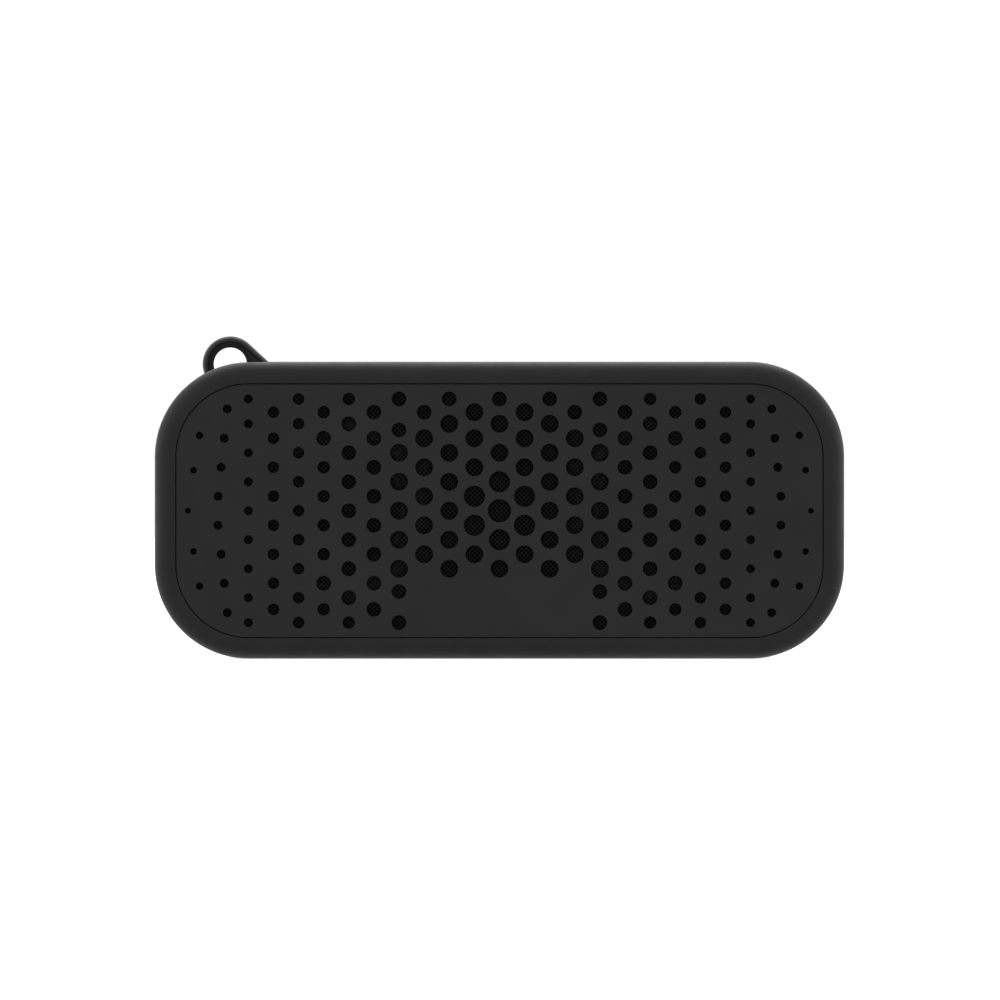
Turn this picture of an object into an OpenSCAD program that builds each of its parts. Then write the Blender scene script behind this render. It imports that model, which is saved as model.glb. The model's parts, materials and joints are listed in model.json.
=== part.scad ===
// Portable shower speaker: a rubber sleeve round a two-driver cabinet with a hanging loop.
// +X is the right side seen from the front, -Y is the front, +Z is up.
// The origin is the middle of the flat bottom.

/* [Body] */
// Overall width
body_w = 166.5; // [164:0.5:174]
// Overall height
body_h = 71.5; // [71:0.5:76]
// Overall depth, front to back
body_d = 52; // [51.5:0.5:56]
// Radius of the four corners, seen from the front
corner_r = 22.7; // [21.5:0.1:24]
// Radius of the soft front and rear edges
edge_r = 4.2; // [3.9:0.1:4.4]
// Wall of the rubber sleeve
sleeve_t = 2; // [1.8:0.1:2]
// Wall of the plastic case inside the sleeve
case_t = 2; // [1.6:0.1:2.4]

/* [Front grille] */
// Distance from the outline to the edge of the sleeve's lip
lip_inset = 5; // [4.8:0.1:5.2]
// Gap between the lip and the grille panel
panel_gap = 0.3; // [0.2:0.1:0.5]
// Pitch of the hole pattern
hole_pitch = 7; // [6.8:0.1:7]
// Diameter of the middle hole
centre_hole_d = 5.6; // [4.6:0.1:5.8]
// Diameter of a full-size hole
hole_d = 4.3; // [3.6:0.05:4.5]

/* [Hanging loop] */
// Radius of the loop's eye
eye_r = 4; // [3:0.1:4.2]
// Outer radius of the loop
loop_r = 6.7; // [6.2:0.1:6.8]
// Width of the loop, front to back
loop_w = 6; // [5:0.5:7]

/* [Drivers] */
// Distance of each driver from the middle
driver_x = 40; // [39:0.5:41]
// Cone travel each way
cone_travel = 1.5; // [0.5:0.1:1.5]

/* [Controls] */
// Distance between neighbouring buttons
button_pitch = 14; // [13:0.5:14]
// Radius of a button's cap
button_r = 4.6; // [4:0.1:4.8]
// How far a button goes down
button_travel = 0.5; // [0.3:0.1:0.5]

/* [Ports] */
// Middle of the charging port, from the middle of the body
usb_x = 50; // [49.5:0.5:51]
// Middle of the audio socket, from the middle of the body
aux_x = 61; // [60.5:0.5:61.5]
// Radius of the audio socket's bore
aux_bore_r = 1.75; // [1.7:0.05:1.8]

/* [Hidden] */
$fn = 96;
eps = 0.5;

half_w = body_w/2;
mid_z = body_h/2;
front_y = -body_d/2;
rear_y = body_d/2;
corner_x = half_w - corner_r;
fit_gap = 0.2;                                // sleeve to case

// The case, as insets from the outline and depths along Y
case_inset = sleeve_t + fit_gap;
inner_inset = case_inset + case_t;
rim_inset = 3.6;
rim_inner_inset = 6;
panel_inset = lip_inset + panel_gap;
panel_t = 2.1;
panel_front_y = front_y + 0.2;
panel_back_y = panel_front_y + panel_t;
mesh_t = 0.5;
collar_front_y = front_y + edge_r;
baffle_front_y = front_y + 8;
baffle_t = 2.5;
baffle_back_y = baffle_front_y + baffle_t;
case_rear_y = rear_y - 6;
gasket_t = 0.6;
cover_front_y = case_rear_y + gasket_t;
cover_step_y = rear_y - 3.8;
cover_inner_y = rear_y - 2.8;
cover_rim_y = rear_y - 2.2;
cover_outer_y = rear_y - 0.2;
cover_rim_inner_inset = 7.3;

// The channel behind the hanging loop
eye_x = -(half_w - 18.05);
eye_z = body_h - 0.5;
channel_r = 5.4;
channel_y = -1;
loop_y = 6;
loop_tangent = 47.2;
foot_x = eye_x + 9.65;
foot_z = body_h - 0.3;
stem_x = eye_x + eye_r + 0.2;
stem_z = body_h - 9;
loop_gap = 0.1;
bead_w = 1;
eye_bead_w = 0.5;
field_depth = 0.7;
pin_x = (stem_x + foot_x)/2;
pin_z = body_h - 6.5;
pin_r = 1;
pin_fit = 0.02;
block_y = [4, 14];

// Case screws, as x and z
screw_low_z = 8.4;
screw_side_x = half_w - 11.25;
screw_side_dz = 13.75;
screw_mid_x = 37;
case_screw_places = [for (s = [-1, 1], p = [[screw_side_x, mid_z - screw_side_dz],
    [screw_side_x, mid_z + screw_side_dz], [screw_mid_x, screw_low_z],
    [screw_mid_x, body_h - screw_low_z]]) [s*p[0], p[1]]];
boss_r = 3.2;
case_screw_r = 1.25;
screw_head_r = 2.5;

// Grille pegs, as x and z
peg_r = 1.4;
peg_places = concat([[0, mid_z - 22]],
    [for (sx = [-1, 1], sz = [-1, 1]) [sx*(half_w - 12.25), mid_z + sz*14]]);
peg_y = baffle_front_y + 1;

// Depths inside a driver, from the front plane
flange_half = 23;
flange_corner_r = 8;
flange_d = [6.3, 7.5];
driver_screw_d = 18.3;
driver_screw_r = 1.1;
driver_screw_places = [for (s = [-1, 1], x = [-1, 1], z = [-1, 1])
    [s*driver_x + x*driver_screw_d, mid_z + z*driver_screw_d]];
basket_r = 20.4;
plate_d = 19;
coil_r = 6.2;

// Passive radiator
radiator_z = mid_z + 6.75;
radiator_y = rear_y - 7.8;
radiator_w = 60;
radiator_h = 28;
radiator_screw_places = [for (x = [-14, 14], z = [-15.5, 15.5]) [x, radiator_z + z]];

// Battery
cell_r = 9.25;
cell_l = 65;
cell_y = rear_y - 15.5;
cell_z = 15.2;
floor_z = inner_inset;

// Main board and its ports
board_x = [42, 68];
board_y = [rear_y - 38, rear_y - 8];
board_z = 9.4;
board_t = 1.6;
board_top_z = board_z + board_t;
board_screw_places = [[44.8, -9], [44.8, 8], [65.4, -9], [65.4, 4]];
port_face_y = rear_y - 3.2;
usb_z = board_top_z + 1.6;
usb_slot = [8.4, 2.6];
usb_wall = 0.3;
aux_depth = 12;
aux_z = board_top_z + 2.6;

// Port flap, hinged on an upright pin at its left edge
flap_axis = [42.6, rear_y - 1.3];
flap_z = [7.8, 18.8];
flap_end_x = 65.8;
flap_t = 1.7;
flap_gap = 0.3;
flap_pin_r = 0.5;
flap_pin_fit = 0.05;
flap_barrel_r = 1;
recess_y = flap_axis[1] - flap_t/2 - 0.15;
port_pad_margin = 1.4;
screw_sink = 1.9;

// Controls on the top
button_x = [for (i = [-1.5, -0.5, 0.5, 1.5]) i*button_pitch];
sleeve_under_z = body_h - sleeve_t;
recess_z = body_h - 4.2;
pad_z = body_h - 6.2;
cap_top_z = body_h - 0.15;
flange_z = body_h - 2.75;
mat_t = 0.8;
plunger_r = 1.5;
plunger_hole_r = 1.9;
plunger_end_z = body_h - 6.9;
keyboard_z = body_h - 10.6;
keyboard_t = 1.2;
led_x = 29.5;

// Routes of the inner cables, each point as x, y, z
battery_route = [[32.9, 10.5, 15.2], [35, 10.5, 16], [38, 8, 17], [42, 5, 16.5], [44.5, 3, 14],
    [45, 2, 11.4]];
left_route = [[-22.2, -10, 32], [-18, -9, 28], [-12, -8, 21], [-2, -8, 14], [10, -9, 10.5], [22, -9, 9.5],
    [31, -9, 11.5], [37, -8, 14.5], [42, -6, 14], [44.5, -4.5, 11.5]];
right_route = [[52, -9, 19.6], [54, -9, 17], [57, -9, 14.5], [60, -9, 11.5]];
ribbon_route = [[26, 3, 60.6], [26, 5, 57], [28, 10, 52], [33, 11, 42], [39, 11, 32], [45, 11, 22],
    [49, 10, 15], [50, 9, 11.5]];

// ---------- shapes ----------

// A rectangle with round corners, about the origin
module rounded_rect(w, h, r) {
    square([w, h - 2*r], center = true);
    square([w - 2*r, h], center = true);
    for (x = [-1, 1], z = [-1, 1])
        translate([x*(w/2 - r), z*(h/2 - r)]) circle(r);
}

// Extrudes a shape drawn in X and Z from y0 to y1
module along_y(y0, y1) {
    translate([0, y1, 0]) rotate([90, 0, 0]) linear_extrude(y1 - y0) children();
}

// A rod along Y through [x, z]
module rod_y(p, r, y0, y1) {
    translate([p[0], y0, p[1]]) rotate([-90, 0, 0]) cylinder(r = r, h = y1 - y0);
}

module rod_z(x, y, r, z0, z1) {
    translate([x, y, z0]) cylinder(r = r, h = z1 - z0);
}

module box(low, high) {
    translate(low) cube(high - low);
}

// The body's outline, inset by n, as a slab from y0 to y1
module slab(n, y0, y1) {
    along_y(y0, y1) translate([0, mid_z]) rounded_rect(body_w - 2*n, body_h - 2*n, corner_r - n);
}

// The round channel behind the hanging loop, grown by n on every side
module channel(n) {
    rod_y([eye_x, eye_z], channel_r + n, channel_y - n, rear_y + 1);
}

// A slab that leaves the channel free
module envelope(n, y0, y1) {
    difference() {
        slab(n, y0, y1);
        channel(n);
    }
}

// The section of the body's edge: run outwards, depth across, with both outer corners round
module edge_section(run, n) {
    r = edge_r - n;
    half = body_d/2 - n;
    translate([0, -half]) square([run - r, 2*half]);
    translate([0, r - half]) square([run, 2*(half - r)]);
    for (y = [-1, 1])
        translate([run - r, y*(half - r)]) circle(r);
}

// The whole body with its soft front and rear edges, inset by n
module soft_body(n) {
    translate([-corner_x, 0, mid_z]) rotate([90, 0, 90]) linear_extrude(2*corner_x)
        rounded_rect(body_d - 2*n, body_h - 2*n, edge_r - n);
    for (side = [0, 1]) mirror([side, 0, 0])
        translate([corner_x, 0, corner_r]) linear_extrude(body_h - 2*corner_r)
            edge_section(corner_r - n, n);
    for (quarter = [0:3]) {
        x = (quarter == 0 || quarter == 3) ? corner_x : -corner_x;
        z = quarter < 2 ? body_h - corner_r : corner_r;
        translate([x, 0, z]) rotate([90, 0, 0]) rotate(90*quarter)
            rotate_extrude(angle = 90) edge_section(corner_r - n, n);
    }
}

module stadium(w, h) {
    square([w - h, h], center = true);
    for (x = [-1, 1]) translate([x*(w - h)/2, 0]) circle(h/2);
}

// A ring of stadium shape, between two outlines
module stadium_ring(w, h, wall) {
    difference() {
        stadium(w, h);
        stadium(w - 2*wall, h - 2*wall);
    }
}

// A screw along Y with a cross recess, its head's rim towards the given side (-1 front, 1 rear)
module screw_y(p, seat_y, side, shank_r, head_r, head_h, length) {
    translate([p[0], seat_y, p[1]]) rotate([-90*side, 0, 0]) difference() {
        union() {
            translate([0, 0, -length]) cylinder(r = shank_r, h = length + eps);
            cylinder(r = head_r, h = head_h);
        }
        for (a = [0, 90]) rotate(a) translate([0, 0, head_h])
            cube([1.5*head_r, 0.3*head_r, head_h], center = true);
    }
}

// ---------- cables ----------

function unit(v) = v/norm(v);

// A point on the smooth curve through four neighbours, t from 0 to 1 between b and c
function curve_point(a, b, c, d, t) =
    0.5*(2*b + (c - a)*t + (2*a - 5*b + 4*c - d)*t*t + (3*b - a - 3*c + d)*t*t*t);

function smooth_route(p, steps) = let (last = len(p) - 1) concat(
    [for (i = [0:last - 1], s = [0:steps - 1])
        curve_point(p[max(i - 1, 0)], p[i], p[i + 1], p[min(i + 2, last)], s/steps)],
    [p[last]]);

// Sweeps an outline of 2D points along a route. "side" is a direction the outline's x stays near.
module sweep(route, outline, side) {
    n = len(outline);
    last = len(route) - 1;
    rings = [for (i = [0:last])
        let (t = unit(route[min(i + 1, last)] - route[max(i - 1, 0)]),
            v = unit(cross(t, side)), u = cross(v, t))
        for (q = outline) route[i] + q[0]*u + q[1]*v];
    walls = [for (i = [0:last - 1], k = [0:n - 1])
        let (a = i*n + k, b = i*n + (k + 1) % n)
        for (triangle = [[a, b, b + n], [a, b + n, a + n]]) triangle];
    polyhedron(rings, concat([[for (k = [n - 1:-1:0]) k]], walls, [[for (k = [0:n - 1]) last*n + k]]));
}

module cable(route, r) {
    sweep(smooth_route(route, 3), [for (a = [0:45:315]) r*[cos(a), sin(a)]], [0.2, 0.9, 0.3]);
}

// ---------- sleeve, panel and case ----------

module rubber_sleeve() {
    color([0.17, 0.165, 0.167]) difference() {
        soft_body(0);
        channel(0);
        difference() {
            soft_body(sleeve_t);
            channel(sleeve_t);
        }
        slab(lip_inset, front_y - 1, front_y + 3);
        envelope(lip_inset, rear_y - 3, rear_y + 1);
        loop_seat();
        for (x = button_x) rod_z(x, 0, button_r + 0.3, recess_z, body_h + 1);
        rod_z(-led_x, 0, 1.1, recess_z, body_h + 1);
        rod_z(led_x, 0, 0.6, recess_z, body_h + 1);
    }
}

// Hole pattern of the grille: columns count outwards from the middle
column_pitch = hole_pitch*sqrt(3)/2;
even_end = 27;
odd_end = 23.8;
mid_d = 3.55;
small_d = 3;
smaller_d = 2.8;
fine_d = 2.15;

function signed(list) = concat([for (v = list) if (v > 0) -v], list);

function column_rows(k) = signed(k % 2 == 1
    ? [0.5*hole_pitch, 1.5*hole_pitch, 2.5*hole_pitch, odd_end]
    : [0, hole_pitch, 2*hole_pitch, k == 4 ? 19.5 : 3*hole_pitch, even_end]);

function in_blank_field(k, z) = k <= 3 && z < -2.2*hole_pitch;

function row_d(k, a) =
    k == 0 && a == 0 ? centre_hole_d
    : norm([k*column_pitch, a]) < 1.1*hole_pitch ? centre_hole_d - 0.5
    : k <= 4 && (a >= even_end || (k == 3 && a == odd_end) || (k == 4 && a > 2.5*hole_pitch)) ? mid_d
    : k <= 4 ? hole_d
    : k == 6 && a == even_end ? small_d
    : k == 5 || k == 6 || (k == 7 && a > 2.2*hole_pitch && a < odd_end) ? mid_d
    : k == 7 ? small_d
    : k < 10 ? smaller_d
    : fine_d;

// Each hole as [x, z, diameter], z from the middle of the panel
grid_holes = [for (s = [-1, 1], k = [0:10]) if (s > 0 || k > 0)
    for (z = column_rows(k)) if (!in_blank_field(k, z))
        [s*k*column_pitch, z, row_d(k, abs(z))]];
bowed_holes = [for (s = [-1, 1], z = signed([3.5, 10.5, 17.5, 24.6]))
    [s*(68.3 - 0.105*abs(z)), z, fine_d]];
end_holes = [for (s = [-1, 1], p = [[75.2, 0, 1.4], [73.9, 9.8, 1.6], [72.4, 18.2, 1.8]], z = signed([p[1]]))
    [s*p[0], z, p[2]]];
panel_holes = concat(grid_holes, bowed_holes, end_holes);

module front_grille() {
    color([0.18, 0.18, 0.185]) {
        difference() {
            slab(panel_inset, panel_front_y, panel_back_y);
            for (h = panel_holes)
                rod_y([h[0], mid_z + h[1]], h[2]/2, panel_front_y - 1, panel_back_y + 1);
        }
        for (p = peg_places) rod_y(p, peg_r, panel_back_y - eps, peg_y);
    }
}

module grille_mesh() {
    color([0.1, 0.1, 0.1]) difference() {
        slab(rim_inner_inset + 0.2, panel_back_y, panel_back_y + mesh_t);
        for (p = peg_places) rod_y(p, peg_r + 0.3, panel_back_y - 1, panel_back_y + 1);
    }
}

// The space that the hanging loop takes out of the sleeve and the case
module loop_seat() {
    rod_y([eye_x, eye_z], loop_r + loop_gap, loop_y - loop_gap, loop_y + loop_w + loop_gap);
    box([stem_x - loop_gap, loop_y - loop_gap, stem_z - loop_gap],
        [foot_x + loop_gap, loop_y + loop_w + loop_gap, body_h + 5]);
}

module chassis() {
    color([0.22, 0.22, 0.23]) difference() {
        union() {
            difference() {
                union() {
                    envelope(case_inset, collar_front_y, case_rear_y);
                    slab(rim_inset, panel_back_y, collar_front_y + eps);
                }
                envelope(inner_inset, baffle_back_y, case_rear_y + 1);
                slab(rim_inner_inset, front_y, baffle_front_y);
            }
            for (p = case_screw_places) rod_y(p, boss_r, baffle_back_y - eps, case_rear_y + gasket_t - 0.1);
            for (p = peg_places) rod_y(p, 3, baffle_front_y - 3, baffle_front_y + eps);
            for (p = driver_screw_places) rod_y(p, 2.6, baffle_back_y - eps, baffle_back_y + 3.5);
            intersection() {
                box([stem_x - 2, block_y[0], stem_z - 2.4], [foot_x + 2, block_y[1], body_h]);
                envelope(case_inset, 0, case_rear_y);
            }
            box([-33.5, -9, pad_z], [33.5, 9, recess_z + 0.3]);
            for (x = [-button_pitch, button_pitch])
                rod_z(x, 0, 2.2, keyboard_z + keyboard_t, pad_z + eps);
            for (p = board_screw_places) rod_z(p[0], p[1], 2.2, 3.6, board_z);
        }
        for (p = case_screw_places) rod_y(p, case_screw_r + 0.05, case_rear_y - 13, case_rear_y + 1);
        for (p = peg_places) rod_y(p, peg_r + 0.1, baffle_front_y - 4, peg_y + 0.2);
        for (p = driver_screw_places) rod_y(p, driver_screw_r + 0.05, front_y, baffle_back_y + 3);
        for (s = [-1, 1]) rod_y([s*driver_x, mid_z], basket_r + 0.3, front_y, baffle_back_y + 1);
        loop_seat();
        rod_y([pin_x, pin_z], pin_r + pin_fit, block_y[0] - 1, block_y[1] + 1);
        box([-27.5, -6.5, recess_z], [27.5, 6.5, body_h]);
        for (x = button_x) rod_z(x, 0, plunger_hole_r, pad_z - 1, body_h);
        rod_z(-led_x, 0, 1.1, pad_z - 1, body_h);
        rod_z(led_x, 0, 0.6, pad_z - 1, body_h);
        for (x = [-button_pitch, button_pitch]) rod_z(x, 0, 0.85, keyboard_z, pad_z + 1);
        for (p = board_screw_places) rod_z(p[0], p[1], 0.85, floor_z + 0.5, board_z + 1);
    }
}

module case_gasket() {
    color([0.1, 0.1, 0.1]) difference() {
        envelope(case_inset + 0.2, case_rear_y, case_rear_y + gasket_t);
        envelope(inner_inset - 0.2, case_rear_y - 1, case_rear_y + 1);
    }
}

// ---------- rear cover ----------

guard_hole_r = 1.9;
guard_holes = [for (i = [-3:3], j = [-1:1])
    let (x = hole_pitch*(i + (abs(j) % 2 == 1 ? 0.5 : 0)), z = j*column_pitch)
    if (abs(x) < 3.2*hole_pitch) [x, radiator_z + z]];

module rear_cover() {
    color([0.19, 0.19, 0.195]) difference() {
        union() {
            difference() {
                union() {
                    envelope(case_inset + 0.2, cover_front_y, cover_step_y);
                    envelope(rim_inset, cover_step_y - eps, cover_rim_y);
                    envelope(panel_inset, cover_rim_y - eps, cover_outer_y);
                }
                envelope(cover_rim_inner_inset, cover_front_y - 1, cover_inner_y);
            }
            for (p = case_screw_places) rod_y(p, boss_r + 0.2, cover_front_y, cover_inner_y + eps);
            box([flap_axis[0] - port_pad_margin, cover_front_y, flap_z[0] - port_pad_margin],
                [flap_end_x + port_pad_margin, cover_inner_y + eps, flap_z[1] + port_pad_margin]);
        }
        for (p = case_screw_places) {
            rod_y(p, case_screw_r + 0.35, cover_front_y - 1, rear_y);
            rod_y(p, screw_head_r + 0.3, cover_outer_y - screw_sink, rear_y);
        }
        for (p = guard_holes) rod_y(p, guard_hole_r, cover_inner_y - 1, rear_y);
        for (p = radiator_screw_places) rod_y(p, 0.85, cover_inner_y - 1, cover_outer_y - 0.8);
        // recess for the flap, its barrel, its pin and a finger scoop
        box([flap_axis[0] - 1.5, recess_y, flap_z[0] - 0.2],
            [flap_end_x + flap_gap, rear_y, flap_z[1] + 0.2]);
        rod_z(flap_axis[0], flap_axis[1], flap_pin_r + 0.02, flap_z[0] - 1.2, flap_z[1] + 1.2);
        rod_y([flap_end_x, (flap_z[0] + flap_z[1])/2], 2.6, recess_y + 0.3, rear_y);
        // openings of the two ports
        along_y(cover_front_y - 1, rear_y) translate([usb_x, usb_z]) stadium(12.4, 7);
        rod_y([aux_x, aux_z], 3.3, cover_front_y - 1, rear_y);
    }
}

module case_screws() {
    color([0.55, 0.55, 0.57])
        for (p = case_screw_places)
            screw_y(p, cover_outer_y - screw_sink, 1, case_screw_r, screw_head_r, 1.5, 15);
}

// ---------- hanging loop ----------

// A place on the loop's straight back, run on from a round of radius r down to height z
function loop_back(r, z) = [eye_x + (r - (z - eye_z)*sin(loop_tangent))/cos(loop_tangent), z];

// The sunk field of a loop face, between the outer bead and the eye's bead
module loop_field(y0, y1) {
    r = loop_r - bead_w;
    difference() {
        union() {
            rod_y([eye_x, eye_z], r, y0, y1);
            along_y(y0, y1) polygon([[eye_x, eye_z],
                [eye_x + r*cos(loop_tangent), eye_z + r*sin(loop_tangent)],
                loop_back(r, body_h), [eye_x, body_h]]);
        }
        rod_y([eye_x, eye_z], eye_r + eye_bead_w, y0 - 1, y1 + 1);
    }
}

module hanging_loop() {
    tangent = [eye_x + loop_r*cos(loop_tangent), eye_z + loop_r*sin(loop_tangent)];
    color([0.15, 0.145, 0.147]) difference() {
        union() {
            rod_y([eye_x, eye_z], loop_r, loop_y, loop_y + loop_w);
            along_y(loop_y, loop_y + loop_w) polygon([[eye_x, eye_z], tangent, [foot_x, foot_z],
                [foot_x, stem_z], [stem_x, stem_z], [stem_x, eye_z]]);
        }
        rod_y([eye_x, eye_z], eye_r, loop_y - 1, loop_y + loop_w + 1);
        loop_field(loop_y - 1, loop_y + field_depth);
        loop_field(loop_y + loop_w - field_depth, loop_y + loop_w + 1);
        rod_y([pin_x, pin_z], pin_r + pin_fit, loop_y - 1, loop_y + loop_w + 1);
    }
}

module loop_pin() {
    color([0.6, 0.6, 0.62]) rod_y([pin_x, pin_z], pin_r, block_y[0], block_y[1]);
}

// ---------- drivers ----------

// Puts a driver's piece on its axis: z becomes the depth behind the front plane
module at_driver(side) {
    translate([side*driver_x, front_y, mid_z]) rotate([-90, 0, 0]) children();
}

module disc_ring(r_in, r_out, d0, d1) {
    translate([0, 0, d0]) difference() {
        cylinder(r = r_out, h = d1 - d0);
        translate([0, 0, -1]) cylinder(r = r_in, h = d1 - d0 + 2);
    }
}

module flange_plate(d0, d1, hole_r) {
    translate([0, 0, d0]) linear_extrude(d1 - d0) difference() {
        rounded_rect(2*flange_half, 2*flange_half, flange_corner_r);
        circle(hole_r);
        for (x = [-1, 1], z = [-1, 1])
            translate([x, z]*driver_screw_d) circle(driver_screw_r + 0.2);
    }
}

module driver_gasket(side) {
    color([0.08, 0.08, 0.08]) at_driver(side)
        flange_plate(flange_d[1], baffle_front_y - front_y, basket_r + 0.4);
}

module driver_basket(side) {
    color([0.3, 0.3, 0.31]) at_driver(side) {
        flange_plate(flange_d[0], flange_d[1], basket_r - 1);
        difference() {
            rotate_extrude() polygon([[19.4, flange_d[1] - eps], [basket_r, flange_d[1] - eps], [basket_r, 9],
                [16, plate_d - 1], [16, plate_d], [7.6, plate_d], [7.6, plate_d - 1], [14.9, plate_d - 1],
                [16.2, 14.8], [14, 14.8], [14, 13.8], [16.6, 13.8]]);
            for (a = [45:90:315]) rotate(a) translate([9, -4.5, 9.2]) cube([14, 9, 4.4]);
            for (a = [0:90:270]) rotate(a) translate([15, -3.5, 15]) cube([4, 7, 2.6]);
        }
    }
}

// Half-round rubber roll between the basket and the cone
module driver_surround(side) {
    roll_r = 18.5;
    color([0.06, 0.06, 0.06]) at_driver(side) rotate_extrude() {
        intersection() {
            translate([roll_r, flange_d[0]]) difference() {
                circle(1.3, $fn = 32);
                circle(0.9, $fn = 32);
            }
            translate([roll_r - 2, flange_d[0] - 2]) square([4, 2]);
        }
        translate([roll_r + 0.9, flange_d[0] - 0.4]) square([2.2, 0.4]);
        translate([roll_r - 2.3, flange_d[0] - 0.4]) square([1.4, 0.4]);
    }
}

module driver_cone(side) {
    front = flange_d[0] + 0.15;
    color([0.12, 0.12, 0.13]) at_driver(side) rotate_extrude()
        polygon([[17.2, front], [17.2, front + 0.5], [6.5, 13], [6.5, 12.4]]);
}

module dust_cap(side) {
    dome_r = 13.2;
    base_d = 11.7;
    color([0.1, 0.1, 0.11]) at_driver(side) difference() {
        translate([0, 0, 9.3 + dome_r]) difference() {
            sphere(dome_r);
            sphere(dome_r - 0.4);
        }
        translate([-15, -15, base_d]) cube([30, 30, 30]);
    }
}

module voice_coil(side) {
    color([0.72, 0.42, 0.2]) at_driver(side) rotate_extrude()
        polygon([[coil_r, 11.9], [6.5, 11.9], [6.5, 17.5], [6.8, 17.5], [6.8, 21.5], [6.5, 21.5],
            [6.5, 22], [coil_r, 22]]);
}

// Corrugated centring disc between the basket and the coil
module driver_spider(side) {
    color([0.75, 0.6, 0.3]) at_driver(side) rotate_extrude() polygon(concat(
        [for (i = [0:16]) [6.8 + i*0.5, 13.4 + (i % 4 == 2 ? -0.5 : i % 4 == 0 ? 0 : -0.25)]],
        [for (i = [16:-1:0]) [6.8 + i*0.5, 13.7 + (i % 4 == 2 ? -0.5 : i % 4 == 0 ? 0 : -0.25)]]));
}

module driver_top_plate(side) {
    color([0.62, 0.62, 0.64]) at_driver(side) disc_ring(7.3, 14, plate_d, plate_d + 2);
}

module driver_magnet(side) {
    color([0.2, 0.2, 0.2]) at_driver(side) disc_ring(8, 14.5, plate_d + 2, plate_d + 8);
}

module driver_yoke(side) {
    color([0.6, 0.6, 0.62]) at_driver(side) rotate_extrude()
        polygon([[0, plate_d], [5.7, plate_d], [5.7, plate_d + 8], [14, plate_d + 8], [14, plate_d + 10],
            [13.5, plate_d + 10.5], [0, plate_d + 10.5]]);
}

module driver_screws() {
    color([0.5, 0.5, 0.52])
        for (p = driver_screw_places)
            screw_y(p, front_y + flange_d[0], -1, driver_screw_r, 2.2, 1.2, 6);
}

// ---------- passive radiator ----------

module at_radiator(y0, y1) {
    along_y(y0, y1) translate([0, radiator_z]) children();
}

module radiator_frame() {
    color([0.25, 0.25, 0.26]) difference() {
        union() {
            at_radiator(radiator_y, cover_inner_y) stadium(radiator_w, radiator_h);
            for (p = radiator_screw_places) rod_y(p, 2.8, radiator_y, cover_inner_y);
        }
        at_radiator(radiator_y + 1, rear_y) stadium(radiator_w - 6, radiator_h - 6);
        at_radiator(radiator_y - 1, rear_y) stadium(radiator_w - 10, radiator_h - 10);
        for (p = radiator_screw_places) rod_y(p, 1.05, radiator_y - 1, rear_y);
    }
}

module radiator_surround() {
    foot_y = radiator_y + 1;
    color([0.06, 0.06, 0.06]) {
        at_radiator(foot_y, foot_y + 0.5) stadium_ring(radiator_w - 6.6, radiator_h - 6.6, 2);
        at_radiator(foot_y - 1.2, foot_y + eps) stadium_ring(radiator_w - 10.4, radiator_h - 10.4, 0.5);
        at_radiator(foot_y - 1.2, foot_y - 0.7) stadium_ring(radiator_w - 10.4, radiator_h - 10.4, 3);
        at_radiator(foot_y - 1.2, foot_y + eps) stadium_ring(radiator_w - 15.4, radiator_h - 15.4, 0.5);
        at_radiator(foot_y, foot_y + 0.5) stadium_ring(radiator_w - 15.4, radiator_h - 15.4, 2);
    }
}

module radiator_plate() {
    color([0.16, 0.16, 0.17]) at_radiator(radiator_y + 1.65, radiator_y + 2.45)
        stadium(radiator_w - 15.4, radiator_h - 15.4);
}

module radiator_weight() {
    color([0.6, 0.6, 0.62]) at_radiator(radiator_y - 0.35, radiator_y + 1.65)
        stadium(radiator_w - 22, radiator_h - 22);
}

module radiator_screws() {
    color([0.5, 0.5, 0.52])
        for (p = radiator_screw_places) screw_y(p, radiator_y, -1, 0.8, 1.7, 1, 6);
}

// ---------- battery ----------

module rod_x(y, z, r, x0, x1) {
    translate([x0, y, z]) rotate([0, 90, 0]) cylinder(r = r, h = x1 - x0);
}

module battery_cell() {
    color([0.1, 0.25, 0.45]) {
        rod_x(cell_y, cell_z, cell_r, -cell_l/2, cell_l/2 - 1.2);
        rod_x(cell_y, cell_z, 2.6, cell_l/2 - 1.2 - eps, cell_l/2);
    }
}

module battery_cradle() {
    color([0.25, 0.25, 0.26]) difference() {
        union() {
            box([-30, cell_y - 10, floor_z], [30, cell_y + 10, floor_z + 1.2]);
            for (x = [-24, 24])
                box([x - 2.5, cell_y - 10, floor_z], [x + 2.5, cell_y + 10, cell_z - 1]);
        }
        rod_x(cell_y, cell_z, cell_r + 0.1, -40, 40);
    }
}

module battery_strap() {
    strap_r = cell_r + 0.1;
    strap_t = 0.5;
    color([0.12, 0.12, 0.12]) translate([-4, cell_y, cell_z]) rotate([90, 0, 90]) linear_extrude(8) {
        difference() {
            circle(strap_r + strap_t);
            circle(strap_r);
            translate([-20, -20]) square([40, 20]);
        }
        for (s = [-1, 1])
            translate([s*(strap_r + strap_t/2), (floor_z + 1.2 - cell_z)/2])
                square([strap_t, cell_z - floor_z - 1.2], center = true);
    }
}

module battery_lead() {
    color([0.7, 0.1, 0.1]) cable(battery_route, 0.8);
}

// ---------- main board and ports ----------

module main_board() {
    color([0.05, 0.3, 0.15]) difference() {
        box([board_x[0], board_y[0], board_z], [board_x[1], board_y[1], board_top_z]);
        for (p = board_screw_places) rod_z(p[0], p[1], 1.1, board_z - 1, board_top_z + 1);
    }
}

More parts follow.
